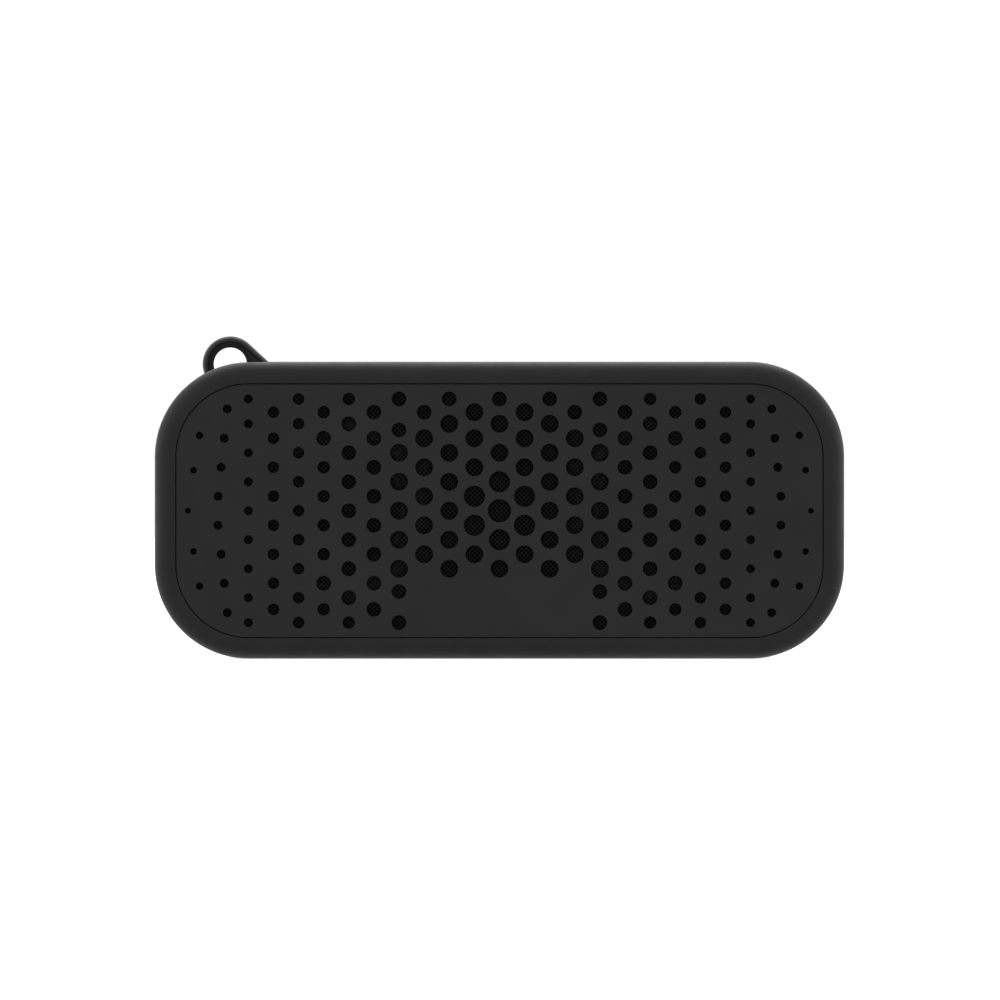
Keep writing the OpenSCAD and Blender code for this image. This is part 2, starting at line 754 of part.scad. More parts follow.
module board_screws() {
    color([0.55, 0.55, 0.57]) {
        for (p = board_screw_places) {
            rod_z(p[0], p[1], 0.8, board_z - 4, board_top_z + eps);
            rod_z(p[0], p[1], 1.8, board_top_z, board_top_z + 1.1);
        }
        for (x = [-button_pitch, button_pitch]) {
            rod_z(x, 0, 0.8, keyboard_z - eps, keyboard_z + keyboard_t + 3);
            rod_z(x, 0, 1.8, keyboard_z - 1.1, keyboard_z);
        }
    }
}

module usb_port() {
    color([0.7, 0.7, 0.72]) {
        difference() {
            along_y(port_face_y - 8, port_face_y) translate([usb_x, usb_z])
                stadium(usb_slot[0] + 2*usb_wall, usb_slot[1] + 2*usb_wall);
            along_y(port_face_y - 6.5, port_face_y + 1) translate([usb_x, usb_z])
                stadium(usb_slot[0], usb_slot[1]);
        }
        box([usb_x - 3.35, port_face_y - 7, usb_z - 0.35], [usb_x + 3.35, port_face_y - 0.8, usb_z + 0.35]);
    }
}

module aux_jack() {
    color([0.1, 0.1, 0.1]) difference() {
        union() {
            box([aux_x - 3.2, port_face_y - aux_depth - 1, board_top_z],
                [aux_x + 3.2, cover_front_y - 0.4, board_top_z + 5.2]);
            rod_y([aux_x, aux_z], 2.9, port_face_y - 4.5, port_face_y);
        }
        rod_y([aux_x, aux_z], aux_bore_r, port_face_y - aux_depth, port_face_y + 1);
    }
}

module board_chips() {
    color([0.08, 0.08, 0.09]) {
        box([54.5, -3, board_top_z], [61.5, 4, board_top_z + 0.9]);
        box([49, -11, board_top_z], [54, -7, board_top_z + 1]);
        box([54, 6, board_top_z], [56.5, 10, board_top_z + 1.2]);
    }
}

module board_capacitors() {
    color([0.2, 0.25, 0.3])
        for (p = [[49.5, -1.8], [64.6, -1.8]]) rod_z(p[0], p[1], 2, board_top_z, board_top_z + 4.5);
}

// ---------- port flap ----------

module port_flap() {
    z_mid = (flap_z[0] + flap_z[1])/2;
    inner_y = flap_axis[1] - flap_t/2;
    color([0.13, 0.13, 0.135]) difference() {
        union() {
            rod_z(flap_axis[0], flap_axis[1], flap_barrel_r, flap_z[0], flap_z[1]);
            box([flap_axis[0], inner_y, flap_z[0]], [flap_end_x, inner_y + flap_t, flap_z[1]]);
            along_y(inner_y - 0.8, inner_y + eps) translate([usb_x, usb_z]) stadium(10.8, 5.4);
            rod_y([aux_x, aux_z], 2.5, inner_y - 0.8, inner_y + eps);
        }
        rod_z(flap_axis[0], flap_axis[1], flap_pin_r + flap_pin_fit, flap_z[0] - 1, flap_z[1] + 1);
        rod_y([flap_end_x + 1.2, z_mid], 2.6, inner_y + 1, inner_y + flap_t + 1);
    }
}

module flap_pin() {
    color([0.6, 0.6, 0.62]) rod_z(flap_axis[0], flap_axis[1], flap_pin_r, flap_z[0] - 1.2, flap_z[1] + 1.2);
}

// ---------- controls ----------

// Bars of an icon on a button's cap, each as [x, y, width, depth]
bar = 0.7;
long_bar = 3.6;
minus_icon = [[0, 0, long_bar, bar]];
plus_icon = [[0, 0, long_bar, bar], [0, 0, bar, long_bar]];
power_icon = [[0, 1.3, bar, 1.8]];
play_icon = [[1, 0, bar, 3], [2.2, 0, bar, 3]];

module button(x, icon) {
    color([0.15, 0.145, 0.147]) difference() {
        union() {
            rod_z(x, 0, button_r, flange_z + 0.3, cap_top_z);
            rod_z(x, 0, button_r + 0.6, flange_z, flange_z + 0.6);
            rod_z(x, 0, plunger_r, plunger_end_z, flange_z + eps);
        }
        for (b = icon) translate([x + b[0], b[1], cap_top_z]) cube([b[2], b[3], 0.6], center = true);
        children();
    }
}

module power_button() {
    button(button_x[0], power_icon)
        translate([button_x[0], 0, cap_top_z - 0.3]) rotate(135) rotate_extrude(angle = 270)
            translate([1.5, 0]) square([bar, 1]);
}

module minus_button() {
    button(button_x[1], minus_icon);
}

module play_button() {
    button(button_x[2], play_icon)
        translate([button_x[2] - 0.9, 0, cap_top_z - 0.3]) cylinder(r = 1.7, h = 1, $fn = 3);
}

module plus_button() {
    button(button_x[3], plus_icon);
}

module keypad_mat() {
    color([0.35, 0.35, 0.36]) difference() {
        box([-27.2, -6.2, recess_z], [27.2, 6.2, recess_z + mat_t]);
        for (x = button_x) rod_z(x, 0, plunger_hole_r, recess_z - 1, recess_z + 2);
    }
}

module button_board() {
    color([0.05, 0.3, 0.15]) difference() {
        box([-33, -7, keyboard_z], [33, 7, keyboard_z + keyboard_t]);
        for (x = [-button_pitch, button_pitch]) rod_z(x, 0, 1.1, keyboard_z - 1, keyboard_z + 2);
    }
}

module tact_switches() {
    base_z = keyboard_z + keyboard_t;
    color([0.3, 0.3, 0.3]) for (x = button_x) {
        box([x - 3, -3, base_z], [x + 3, 3, base_z + 1.2]);
        rod_z(x, 0, 1.75, base_z + 1.2 - 0.2, base_z + 1.8);
    }
}

module status_led() {
    base_z = keyboard_z + keyboard_t;
    color([0.9, 0.9, 0.8]) box([-led_x - 1.5, -0.8, base_z], [-led_x + 1.5, 0.8, base_z + 1]);
}

module light_pipe() {
    color([0.85, 0.87, 0.9]) rod_z(-led_x, 0, 1, keyboard_z + keyboard_t + 1.3, cap_top_z);
}

module microphone() {
    base_z = keyboard_z + keyboard_t;
    color([0.7, 0.7, 0.72]) difference() {
        rod_z(led_x, 0, 2, base_z, base_z + 1.5);
        rod_z(led_x, 0, 0.5, base_z + 1, base_z + 2);
    }
}

// ---------- leads ----------

module ribbon_cable() {
    color([0.8, 0.8, 0.78])
        sweep(smooth_route(ribbon_route, 3), [[-3, -0.25], [3, -0.25], [3, 0.25], [-3, 0.25]], [1, 0.1, 0]);
}

module speaker_lead(route) {
    color([0.6, 0.1, 0.1]) cable(route, 0.7);
}

rubber_sleeve();
front_grille();
grille_mesh();
chassis();
case_gasket();
rear_cover();
case_screws();
hanging_loop();
loop_pin();
driver_gasket(-1);  // driver_gasket_left
driver_gasket(1);  // driver_gasket_right
driver_basket(-1);  // driver_basket_left
driver_basket(1);  // driver_basket_right
driver_surround(-1);  // driver_surround_left
driver_surround(1);  // driver_surround_right
driver_cone(-1);  // driver_cone_left
driver_cone(1);  // driver_cone_right
dust_cap(-1);  // dust_cap_left
dust_cap(1);  // dust_cap_right
voice_coil(-1);  // voice_coil_left
voice_coil(1);  // voice_coil_right
driver_spider(-1);  // driver_spider_left
driver_spider(1);  // driver_spider_right
driver_top_plate(-1);  // driver_top_plate_left
driver_top_plate(1);  // driver_top_plate_right
driver_magnet(-1);  // driver_magnet_left
driver_magnet(1);  // driver_magnet_right
driver_yoke(-1);  // driver_yoke_left
driver_yoke(1);  // driver_yoke_right
driver_screws();
radiator_frame();
radiator_surround();
radiator_plate();
radiator_weight();
radiator_screws();
battery_cell();
battery_cradle();
battery_strap();
battery_lead();
main_board();
board_screws();
usb_port();
aux_jack();
board_chips();
board_capacitors();
port_flap();
flap_pin();
power_button();
minus_button();
play_button();
plus_button();
keypad_mat();
button_board();
tact_switches();
status_led();
light_pipe();
microphone();
ribbon_cable();
speaker_lead(left_route);  // speaker_lead_left
speaker_lead(right_route);  // speaker_lead_right
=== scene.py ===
"""Looks of the shower speaker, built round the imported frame. Lengths in the helpers are millimetres."""

import json
import math

import bmesh
import bpy
import numpy as np
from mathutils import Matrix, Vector, geometry


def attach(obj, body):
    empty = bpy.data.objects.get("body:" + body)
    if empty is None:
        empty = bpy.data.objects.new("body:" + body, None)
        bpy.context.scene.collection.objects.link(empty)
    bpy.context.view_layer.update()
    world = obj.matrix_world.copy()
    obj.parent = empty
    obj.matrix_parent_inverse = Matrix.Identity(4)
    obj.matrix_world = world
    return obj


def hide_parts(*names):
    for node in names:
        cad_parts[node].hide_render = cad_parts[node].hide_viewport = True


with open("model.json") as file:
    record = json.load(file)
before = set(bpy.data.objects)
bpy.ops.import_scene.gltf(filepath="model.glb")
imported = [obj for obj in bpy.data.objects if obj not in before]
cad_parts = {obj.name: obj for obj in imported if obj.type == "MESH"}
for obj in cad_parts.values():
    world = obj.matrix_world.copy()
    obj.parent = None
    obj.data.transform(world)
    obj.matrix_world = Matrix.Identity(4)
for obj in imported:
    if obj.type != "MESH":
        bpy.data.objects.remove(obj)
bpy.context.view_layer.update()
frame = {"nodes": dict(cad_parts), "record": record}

MM = 0.001
TAU = 2 * math.pi

# The body, in millimetres, as in the CAD source
HALF_W = 83.25
HEIGHT = 71.5
MID_Z = HEIGHT / 2
CORNER_R = 22.7
CORNER_X = HALF_W - CORNER_R
FRONT_Y = -26.0
REAR_Y = 26.0
EDGE_R = 4.2
WALL = 2.0
LIP_INSET = 5.0
PANEL_INSET = 5.2
EYE = np.array([-65.2, 71.0])
CHANNEL_R = 5.4
SHOULDER_R = 1.2
BUTTON_X = {"power": -21.0, "minus": -7.0, "play": 7.0, "plus": 21.0}
BUTTON_R = 4.6
CAP_TOP_Z = 71.35
DISH_DEPTH = 0.35
DISH_HALF = 27.0
DISH_R = 7.4
LED_X = 29.5
HOLE_PITCH = 7.0
COLUMN_PITCH = HOLE_PITCH * math.sqrt(3) / 2
# Diameters of the panel's holes, and the heights of the last rows, off the grid's pitch
CENTRE_D, RING_D, FULL_D, MID_D, SMALL_D, SMALLER_D, FINE_D = 5.6, 5.1, 4.3, 3.55, 3.0, 2.8, 2.15
EVEN_END, ODD_END, SHORT_ROW = 27, 23.8, 19.5
RADIATOR_Z = 42.5
LOOP_FRONT_Y = 6.0
LOOP_REAR_Y = 12.0
PEG_R = 1.4
FLAP_X = (42.6, 65.8)
FLAP_Z = (7.8, 18.8)
FLAP_MID_Z = sum(FLAP_Z) / 2
USB = (50.0, 12.6)
AUX = (61.0, 13.6)
OUTER_Y = 25.8
SCREW_SEAT_Y = 23.9
CASE_SCREWS = [(s * x, z) for s in (-1, 1) for x, z in ((72, 22), (72, 49.5), (37, 8.4), (37, 63.1))]
PEGS = [(0, 13.75)] + [(s * 71, MID_Z + t * 14) for s in (-1, 1) for t in (-1, 1)]


# ---------- mesh helpers ----------


def make_object(name, points, faces, smooth_below=35.0, flat_ends=False):
    """A mesh object from points in millimetres, with outward normals and edges sharp above an angle."""
    mesh = bpy.data.meshes.new(name)
    mesh.from_pydata((np.asarray(points, float) * MM).tolist(), [], [tuple(int(i) for i in f) for f in faces])
    tidy(mesh, smooth_below, flat_ends)
    obj = bpy.data.objects.new(name, mesh)
    bpy.context.scene.collection.objects.link(obj)
    return obj


def tidy(mesh, smooth_below, flat_ends=False):
    """Outward normals, and smooth shading up to sharp edges. flat_ends keeps faces square to Y flat."""
    work = bmesh.new()
    work.from_mesh(mesh)
    bmesh.ops.remove_doubles(work, verts=work.verts, dist=1e-7)
    bmesh.ops.dissolve_degenerate(work, edges=work.edges, dist=1e-7)
    bmesh.ops.recalc_face_normals(work, faces=work.faces)
    for face in work.faces:
        face.smooth = not flat_ends or abs(face.normal.y) < 0.9999
    limit = math.radians(smooth_below)
    for edge in work.edges:
        edge.smooth = len(edge.link_faces) == 2 and edge.calc_face_angle(math.pi) < limit
    work.to_mesh(mesh)
    work.free()


def boolean(obj, cutters, operation="DIFFERENCE", smooth_below=35.0, flat_ends=False):
    """Cuts or joins each cutter in turn, then removes them."""
    for cutter in cutters:
        change = obj.modifiers.new("change", "BOOLEAN")
        change.operation = operation
        change.solver = "EXACT"
        change.object = cutter
        depsgraph = bpy.context.evaluated_depsgraph_get()
        result = bpy.data.meshes.new_from_object(obj.evaluated_get(depsgraph))
        obj.modifiers.remove(change)
        old = obj.data
        obj.data = result
        result.name = obj.name
        bpy.data.meshes.remove(old)
        bpy.data.meshes.remove(cutter.data)
    tidy(obj.data, smooth_below, flat_ends)
    return obj


def joined(name, parts, smooth_below=35.0):
    """One object from several, which are removed."""
    work = bmesh.new()
    for part in parts:
        work.from_mesh(part.data)
        bpy.data.meshes.remove(part.data)
    mesh = bpy.data.meshes.new(name)
    work.to_mesh(mesh)
    work.free()
    tidy(mesh, smooth_below)
    obj = bpy.data.objects.new(name, mesh)
    bpy.context.scene.collection.objects.link(obj)
    return obj


def fill(loops, offset=0):
    """Triangles between closed loops of 2D points, the first one outside. Indices count through all loops."""
    vectors = [[Vector((p[0], p[1], 0)) for p in loop] for loop in loops]
    return [[i + offset for i in tri] for tri in geometry.tessellate_polygon(vectors)]


def band(a, b, count):
    """Quads between two rings of the same length that start at a and b."""
    return [[a + i, a + (i + 1) % count, b + (i + 1) % count, b + i] for i in range(count)]


def circle(x, z, r, steps):
    turns = TAU * np.arange(steps) / steps
    return np.c_[x + r * np.cos(turns), z + r * np.sin(turns)]


def moved_in(loop, distance, hole=False):
    """A closed loop moved towards the material: inwards, or outwards for a hole."""
    loop = np.asarray(loop, float)
    x, z = loop[:, 0], loop[:, 1]
    area = 0.5 * np.sum(x * np.roll(z, -1) - np.roll(x, -1) * z)
    before, after = loop - np.roll(loop, 1, 0), np.roll(loop, -1, 0) - loop
    before /= np.linalg.norm(before, axis=1)[:, None]
    after /= np.linalg.norm(after, axis=1)[:, None]
    sign = 1 if area > 0 else -1
    left = sign * np.c_[-(before + after)[:, 1], (before + after)[:, 0]]
    left /= np.maximum(np.linalg.norm(left, axis=1), 1e-9)[:, None]
    normal = sign * np.c_[-after[:, 1], after[:, 0]]
    miter = np.clip(1 / np.maximum((left * normal).sum(1), 0.5), 1, 2)
    return loop + (-1 if hole else 1) * distance * miter[:, None] * left


def rim(radius, steps):
    """Offsets and depths of a quarter round, from the flat face to the wall."""
    turns = np.linspace(0, math.pi / 2, steps + 1)
    return [(radius * (1 - math.sin(t)), radius * (1 - math.cos(t))) for t in turns]


def plate(name, outline, holes, y0, y1, front_r, back_r, steps=3, pegs=(), peg_y=0.0, hole_r=None, deep=1.0):
    """A plate in X and Z from y0 to y1, with round rims on its outline and its holes, and pegs on its back.

    The outline's rims are "deep" times as deep as they are wide, and holes may have rims of their own.
    """
    peg_rim = 0.25
    loops = [(np.asarray(outline, float), False)] + [(np.asarray(h, float), True) for h in holes]
    points, faces, caps = [], [], [[], []]
    for loop, hole in loops:
        first = len(points)
        front, back = (hole_r, hole_r) if hole and hole_r else (front_r, back_r)
        stretch = 1.0 if hole else deep
        levels = [(off, y0 + stretch * d) for off, d in rim(front, steps)]
        levels += [(off, y1 - stretch * d) for off, d in reversed(rim(back, steps))]
        for off, y in levels:
            ring = moved_in(loop, off, hole)
            points += [(x, y, z) for x, z in ring]
        for k in range(len(levels) - 1):
            faces += band(first + k * len(loop), first + (k + 1) * len(loop), len(loop))
        caps[0].append((first, moved_in(loop, levels[0][0], hole)))
        caps[1].append((first + (len(levels) - 1) * len(loop), moved_in(loop, levels[-1][0], hole)))
    for peg in pegs:
        first, count = len(points), len(peg)
        inner = moved_in(peg, peg_rim)
        points += [(x, y1, z) for x, z in peg]
        points += [(x, peg_y - peg_rim, z) for x, z in peg]
        points += [(x, peg_y, z) for x, z in inner]
        faces += band(first, first + count, count) + band(first + count, first + 2 * count, count)
        faces.append(list(range(first + 2 * count, first + 3 * count)))
        caps[1].append((first, np.asarray(peg, float)))
    for cap in caps:
        number = [start + i for start, loop in cap for i in range(len(loop))]
        faces += [[number[i] for i in tri] for tri in fill([loop for _, loop in cap])]
    return make_object(name, points, faces, flat_ends=True)


def lathe(name, profile, at, axis="y", steps=48):
    """Turns a profile of (radius, place along the axis) that starts and ends on the axis."""
    points, faces, rings = [], [], []
    for r, h in profile:
        rings.append((len(points), 1 if r < 1e-9 else steps))
        for i in range(rings[-1][1]):
            u, v = r * math.cos(TAU * i / steps), r * math.sin(TAU * i / steps)
            points.append((at[0] + u, h, at[1] + v) if axis == "y" else (at[0] + u, at[1] + v, h))
    for (a, m), (b, n) in zip(rings, rings[1:]):
        if m == 1 or n == 1:
            hub, edge = (a, b) if m == 1 else (b, a)
            faces += [[hub, edge + i, edge + (i + 1) % steps] for i in range(steps)]
        else:
            faces += band(a, b, steps)
    return make_object(name, points, faces)


def prism(name, loop, y0, y1):
    """A straight prism along Y."""
    n = len(loop)
    points = [(x, y0, z) for x, z in loop] + [(x, y1, z) for x, z in loop]
    return make_object(name, points, band(0, n, n) + [list(range(n)), list(range(n, 2 * n))])


def prism_z(name, loop, z0, z1):
    """A straight prism along Z."""
    n = len(loop)
    points = [(x, y, z0) for x, y in loop] + [(x, y, z1) for x, y in loop]
    return make_object(name, points, band(0, n, n) + [list(range(n)), list(range(n, 2 * n))])


def flared(name, at, r, low, top, flare, axis="z", steps=48):
    """A round cutter whose mouth opens in a quarter round at "top"."""
    sign = 1 if top > low else -1
    mouth = [(r + off, top - sign * d) for off, d in reversed(rim(flare, 5))]
    past = top + sign * 2
    return lathe(name, [(0, low), (r, low)] + mouth + [(r + flare, past), (0, past)], at, axis, steps)


def rounded_rect(cx, cz, w, h, r, steps=6):
    loop = []
    for k, (sx, sz) in enumerate(((1, 1), (-1, 1), (-1, -1), (1, -1))):
        for i in range(steps + 1):
            turn = math.pi / 2 * (k + i / steps)
            x = cx + sx * (w / 2 - r) + r * math.cos(turn)
            loop.append((x, cz + sz * (h / 2 - r) + r * math.sin(turn)))
    return np.array(loop)


def stadium(cx, cz, w, h, steps=16):
    return rounded_rect(cx, cz, w, h, h / 2 - 1e-4, steps)


# ---------- the body's outline ----------


def arc(centre, r, start, end, steps):
    """Points from start to end in degrees, without the last one."""
    turns = np.radians(np.linspace(start, end, steps + 1)[:-1])
    return np.c_[centre[0] + r * np.cos(turns), centre[1] + r * np.sin(turns)]


def line(a, b, steps):
    return np.linspace(a, b, steps + 1)[:-1]


def angle(point, centre):
    return math.degrees(math.atan2(point[1] - centre[1], point[0] - centre[0]))


def shoulders(n):
    """Centres of the two rounds beside the channel, on the outline inset by n."""
    reach = CHANNEL_R + n + SHOULDER_R
    right_z = HEIGHT - n - SHOULDER_R
    right = np.array([EYE[0] + math.sqrt(reach**2 - (right_z - EYE[1]) ** 2), right_z])
    corner = np.array([-CORNER_X, HEIGHT - CORNER_R])
    inner = CORNER_R - n - SHOULDER_R
    gap = EYE - corner
    span = np.linalg.norm(gap)
    along = (inner**2 - reach**2 + span**2) / (2 * span)
    across = math.sqrt(inner**2 - along**2)
    unit = gap / span
    left = corner + along * unit + across * np.array([-unit[1], unit[0]])
    return right, left, corner


def ring(n, notch):
    """The outline inset by n, anticlockwise from the top right, as x and z.

    notch goes from 0, plain, to 1, with the channel behind the loop.
    """
    right, left, corner = shoulders(n)
    top, radius = HEIGHT - n, CORNER_R - n
    steps = (4, 28, 4)
    cut = CHANNEL_R + n
    right_foot = angle(right, EYE)
    left_foot = angle(left, EYE)
    if left_foot > 0:
        left_foot -= 360
    left_end = angle(left, corner)
    notched = np.vstack([
        arc(right, SHOULDER_R, 90, right_foot + 180, steps[0]),
        arc(EYE, cut, right_foot, left_foot, steps[1]),
        arc(left, SHOULDER_R, left_foot + 180, left_end, steps[2]),
    ])
    flat = right[0] + CORNER_X
    bend = math.radians(left_end - 90) * radius
    along = np.linspace(0, flat + bend, sum(steps) + 1)[:-1]
    turn = math.pi / 2 + np.maximum(along - flat, 0) / radius
    plain = np.c_[
        np.where(along < flat, right[0] - along, corner[0] + radius * np.cos(turn)),
        np.where(along < flat, top, corner[1] + radius * np.sin(turn)),
    ]
    low, high = CORNER_R, HEIGHT - CORNER_R
    side = HALF_W - n
    return np.vstack([
        line((CORNER_X, top), (36, top), 7),
        line((36, top), (-36, top), 108),
        line((-36, top), (right[0], top), 6),
        plain + notch * (notched - plain),
        arc(corner, radius, left_end, 180, 12),
        line((-side, high), (-side, low), 8),
        arc((-CORNER_X, low), radius, 180, 270, 28),
        line((-CORNER_X, n), (CORNER_X, n), 20),
        arc((CORNER_X, low), radius, 270, 360, 28),
        line((side, low), (side, high), 8),
        arc((CORNER_X, high), radius, 0, 90, 28),
    ])


# ---------- rubber sleeve ----------


def dish(points):
    """Sinks the soft field round the buttons."""
    slope_w = 2.6
    x, y, z = points.T
    away = np.hypot(np.maximum(np.abs(x) - DISH_HALF, 0), y)
    t = np.clip((DISH_R + slope_w / 2 - away) / slope_w, 0, 1)
    sunk = DISH_DEPTH * t * t * (3 - 2 * t) * (z > HEIGHT - 0.01)
    return np.c_[x, y, z - sunk]


def notch_rows(n, y, round_r):
    """Rows (inset, y, notch) over the channel's end wall, from the plain side.

    The first and last 0.17 of the step are its rims, round over round_r.
    """
    rim_share = 0.17
    rows = []
    for t in np.linspace(0, math.pi / 2, 6):
        rows.append((n, y - round_r * (1 - math.sin(t)), rim_share * (1 - math.cos(t))))
    rows += [(n, y, 0.4), (n, y, 0.62)]
    for t in np.linspace(0, math.pi / 2, 6):
        rows.append((n, y + round_r * (1 - math.cos(t)), 1 - rim_share + rim_share * math.sin(t)))
    return rows


def make_sleeve():
    """The sleeve: its section as rows of (inset, y, notch), each carried round the outline."""
    lip_r = 0.22
    turns = np.linspace(0, math.pi / 2, 15)
    edge = [(EDGE_R * (1 - math.sin(t)), EDGE_R * (1 - math.cos(t))) for t in turns]
    inner = EDGE_R - WALL
    inner_edge = [(WALL + inner * (1 - math.sin(t)), WALL + inner * (1 - math.cos(t))) for t in turns[::2]]
    lip_turns = np.linspace(0, math.pi / 2, 5)
    lip = [(LIP_INSET - lip_r * (1 - math.cos(t)), lip_r * (1 - math.sin(t))) for t in lip_turns]
    # Outside, from the front lip to the rear one, with the channel from y = -1 back
    rows = [(LIP_INSET, FRONT_Y + WALL, 0)]
    rows += [(n, FRONT_Y + d, 0) for n, d in lip]
    rows += [(n, FRONT_Y + d, 0) for n, d in edge]
    rows += [(0, y, 0) for y in (-19, -16, -13.5, -11.5, -10)]
    rows += [(0, y, 0) for y in np.arange(-9.25, -2.2, 0.75)]
    rows += notch_rows(0, -1, 1.0)
    rows += [(0, y, 1) for y in np.arange(0.75, 9.3, 0.75)]
    rows += [(0, y, 1) for y in (10, 11.5, 13.5, 16, 19)]
    rows += [(n, REAR_Y - d, 1) for n, d in reversed(edge)]
    rows += [(n, REAR_Y - d, 1) for n, d in reversed(lip)]
    rows += [(LIP_INSET, REAR_Y - WALL, 1)]
    # Inside, back to the front
    rows += [(n, REAR_Y - d, 1) for n, d in inner_edge]
    rows += [(WALL, y, 1) for y in (15, 5, -1)]
    rows += list(reversed(notch_rows(WALL, -3, 0.3)))
    rows += [(WALL, y, 0) for y in (-8, -15)]
    rows += [(n, FRONT_Y + d, 0) for n, d in reversed(inner_edge)]
    points, faces, count = [], [], 0
    for n, y, notch in rows:
        loop = ring(n, notch)
        count = len(loop)
        row = np.c_[loop[:, 0], np.full(count, y), loop[:, 1]]
        points.append(dish(row) if n == 0 else row)
    for k in range(len(rows)):
        faces += band(k * count, (k + 1) % len(rows) * count, count)
    sleeve = make_object("sleeve", np.vstack(points), faces)
    low_z, dish_z = 67, HEIGHT - DISH_DEPTH
    button_gap, light_hole_r, microphone_hole_r = 0.3, 1.1, 0.6
    cutters = [flared("hole", (x, 0), BUTTON_R + button_gap, low_z, dish_z, 0.4) for x in BUTTON_X.values()]
    cutters.append(flared("hole", (-LED_X, 0), light_hole_r, low_z, dish_z, 0.3, steps=32))
    cutters.append(flared("hole", (LED_X, 0), microphone_hole_r, low_z, dish_z, 0.3, steps=32))
    return boolean(sleeve, [joined("holes", cutters)])


# ---------- front panel and the sheet behind it ----------


def column_rows(k):
    """Heights of the holes of column k above and below the middle."""
    if k % 2:
        rows = [3.5, 10.5, 17.5, ODD_END]
    else:
        rows = [0, 7, 14, SHORT_ROW if k == 4 else 21, EVEN_END]
    return sorted(rows + [-v for v in rows if v > 0])


def hole_diameter(k, a):
    """Diameter of the hole at height a of column k."""
    if k == 0 and a == 0:
        return CENTRE_D
    if math.hypot(k * COLUMN_PITCH, a) < 1.1 * HOLE_PITCH:
        return RING_D
    if k <= 4:
        return MID_D if (k, a) in ((3, ODD_END), (4, SHORT_ROW)) or a >= EVEN_END else FULL_D
    if k == 6 and a == EVEN_END:
        return SMALL_D
    if k in (5, 6) or (k == 7 and a == 17.5):
        return MID_D
    return {7: SMALL_D, 8: SMALLER_D, 9: SMALLER_D}.get(k, FINE_D)


def panel_holes():
    """Every hole as x, z and diameter."""
    holes = []
    for s in (-1, 1):
        for k in range(11):
            if s < 0 and k == 0:
                continue
            for v in column_rows(k):
                if not (k <= 3 and v < -2.2 * HOLE_PITCH):
                    holes.append((s * k * COLUMN_PITCH, MID_Z + v, hole_diameter(k, abs(v))))
        # The end columns bend with the panel's round end and get finer towards it
        for v in (3.5, 10.5, 17.5, 24.6):
            for t in (-1, 1):
                holes.append((s * (68.3 - 0.105 * v), MID_Z + t * v, FINE_D))
        holes.append((s * 75.2, MID_Z, 1.4))
        for x, v, d in ((73.9, 9.8, 1.6), (72.4, 18.2, 1.8)):
            for t in (-1, 1):
                holes.append((s * x, MID_Z + t * v, d))
    return holes


def make_panel():
    front_y, back_y, peg_end_y = -25.8, -23.7, -17.0
    front_rim, back_rim = 0.12, 0.1
    width, height = 2 * (HALF_W - PANEL_INSET), HEIGHT - 2 * PANEL_INSET
    outline = rounded_rect(0, MID_Z, width, height, CORNER_R - PANEL_INSET, 28)
    holes = [circle(x, z, d / 2, 40 if d > 3 else 28) for x, z, d in panel_holes()]
    pegs = [circle(x, z, PEG_R, 24) for x, z in PEGS]
    return plate("panel", outline, holes, front_y, back_y, front_rim, back_rim, pegs=pegs, peg_y=peg_end_y)


def make_mesh_sheet():
    """Slanting square cells, open behind the panel's holes and solid elsewhere."""
    pitch, y0, y1 = 0.76, -23.66, -23.3
    step = pitch / math.sqrt(2)
    open_share = 0.76
    inset, peg_clear_r = 6.9, 2.3
    half_w, half_h, r = HALF_W - inset, HEIGHT / 2 - inset, CORNER_R - inset
    holes = np.array(panel_holes())
    corners = ((1, 0), (0, 1), (-1, 0), (0, -1))
    index, points, faces = {}, [], []

    def vertex(x, y, z):
        key = (round(x, 3), round(y, 3), round(z, 3))
        if key not in index:
            index[key] = len(points)
            points.append((x, y, z))
        return index[key]

    columns, rows = int(half_w / step) + 1, int(half_h / step) + 1
    for i in range(-columns, columns + 1):
        x = step * i
        for j in range(-rows, rows + 1):
            if (i + j) % 2:
                continue
            z = step * j
            corner = math.hypot(max(abs(x) - half_w + r, 0), max(abs(z) - half_h + r, 0))
            peg = min(math.hypot(x - p[0], z + MID_Z - p[1]) for p in PEGS)
            if corner > r or abs(x) > half_w or abs(z) > half_h or peg < peg_clear_r:
                continue
            reach = np.hypot(holes[:, 0] - x, holes[:, 1] - MID_Z - z) - holes[:, 2] / 2
            outer = [[vertex(x + step * c, y, MID_Z + z + step * s) for c, s in corners] for y in (y0, y1)]
            if reach.min() > 0.5 * pitch:
                faces += outer
                continue
            size = open_share * step
            inner = [[vertex(x + size * c, y, MID_Z + z + size * s) for c, s in corners] for y in (y0, y1)]
            for k in range(4):
                m = (k + 1) % 4
                faces.append([outer[0][k], outer[0][m], inner[0][m], inner[0][k]])
                faces.append([outer[1][k], outer[1][m], inner[1][m], inner[1][k]])
                faces.append([inner[0][k], inner[0][m], inner[1][m], inner[1][k]])
    # Walls between the two sides along the sheet's outline and its peg holes
    edges = {}
    for f in faces:
        for a, b in zip(f, f[1:] + f[:1]):
            edges[frozenset((a, b))] = edges.get(frozenset((a, b)), 0) + 1
    back = {v: index[(k[0], round(y1, 3), k[2])] for k, v in index.items() if k[1] == round(y0, 3)}
    for edge, uses in edges.items():
        a, b = edge
        if uses == 1 and a in back and b in back:
            faces.append([a, b, back[b], back[a]])
    return make_object("mesh_sheet", points, faces, smooth_below=20)


# ---------- hanging loop ----------


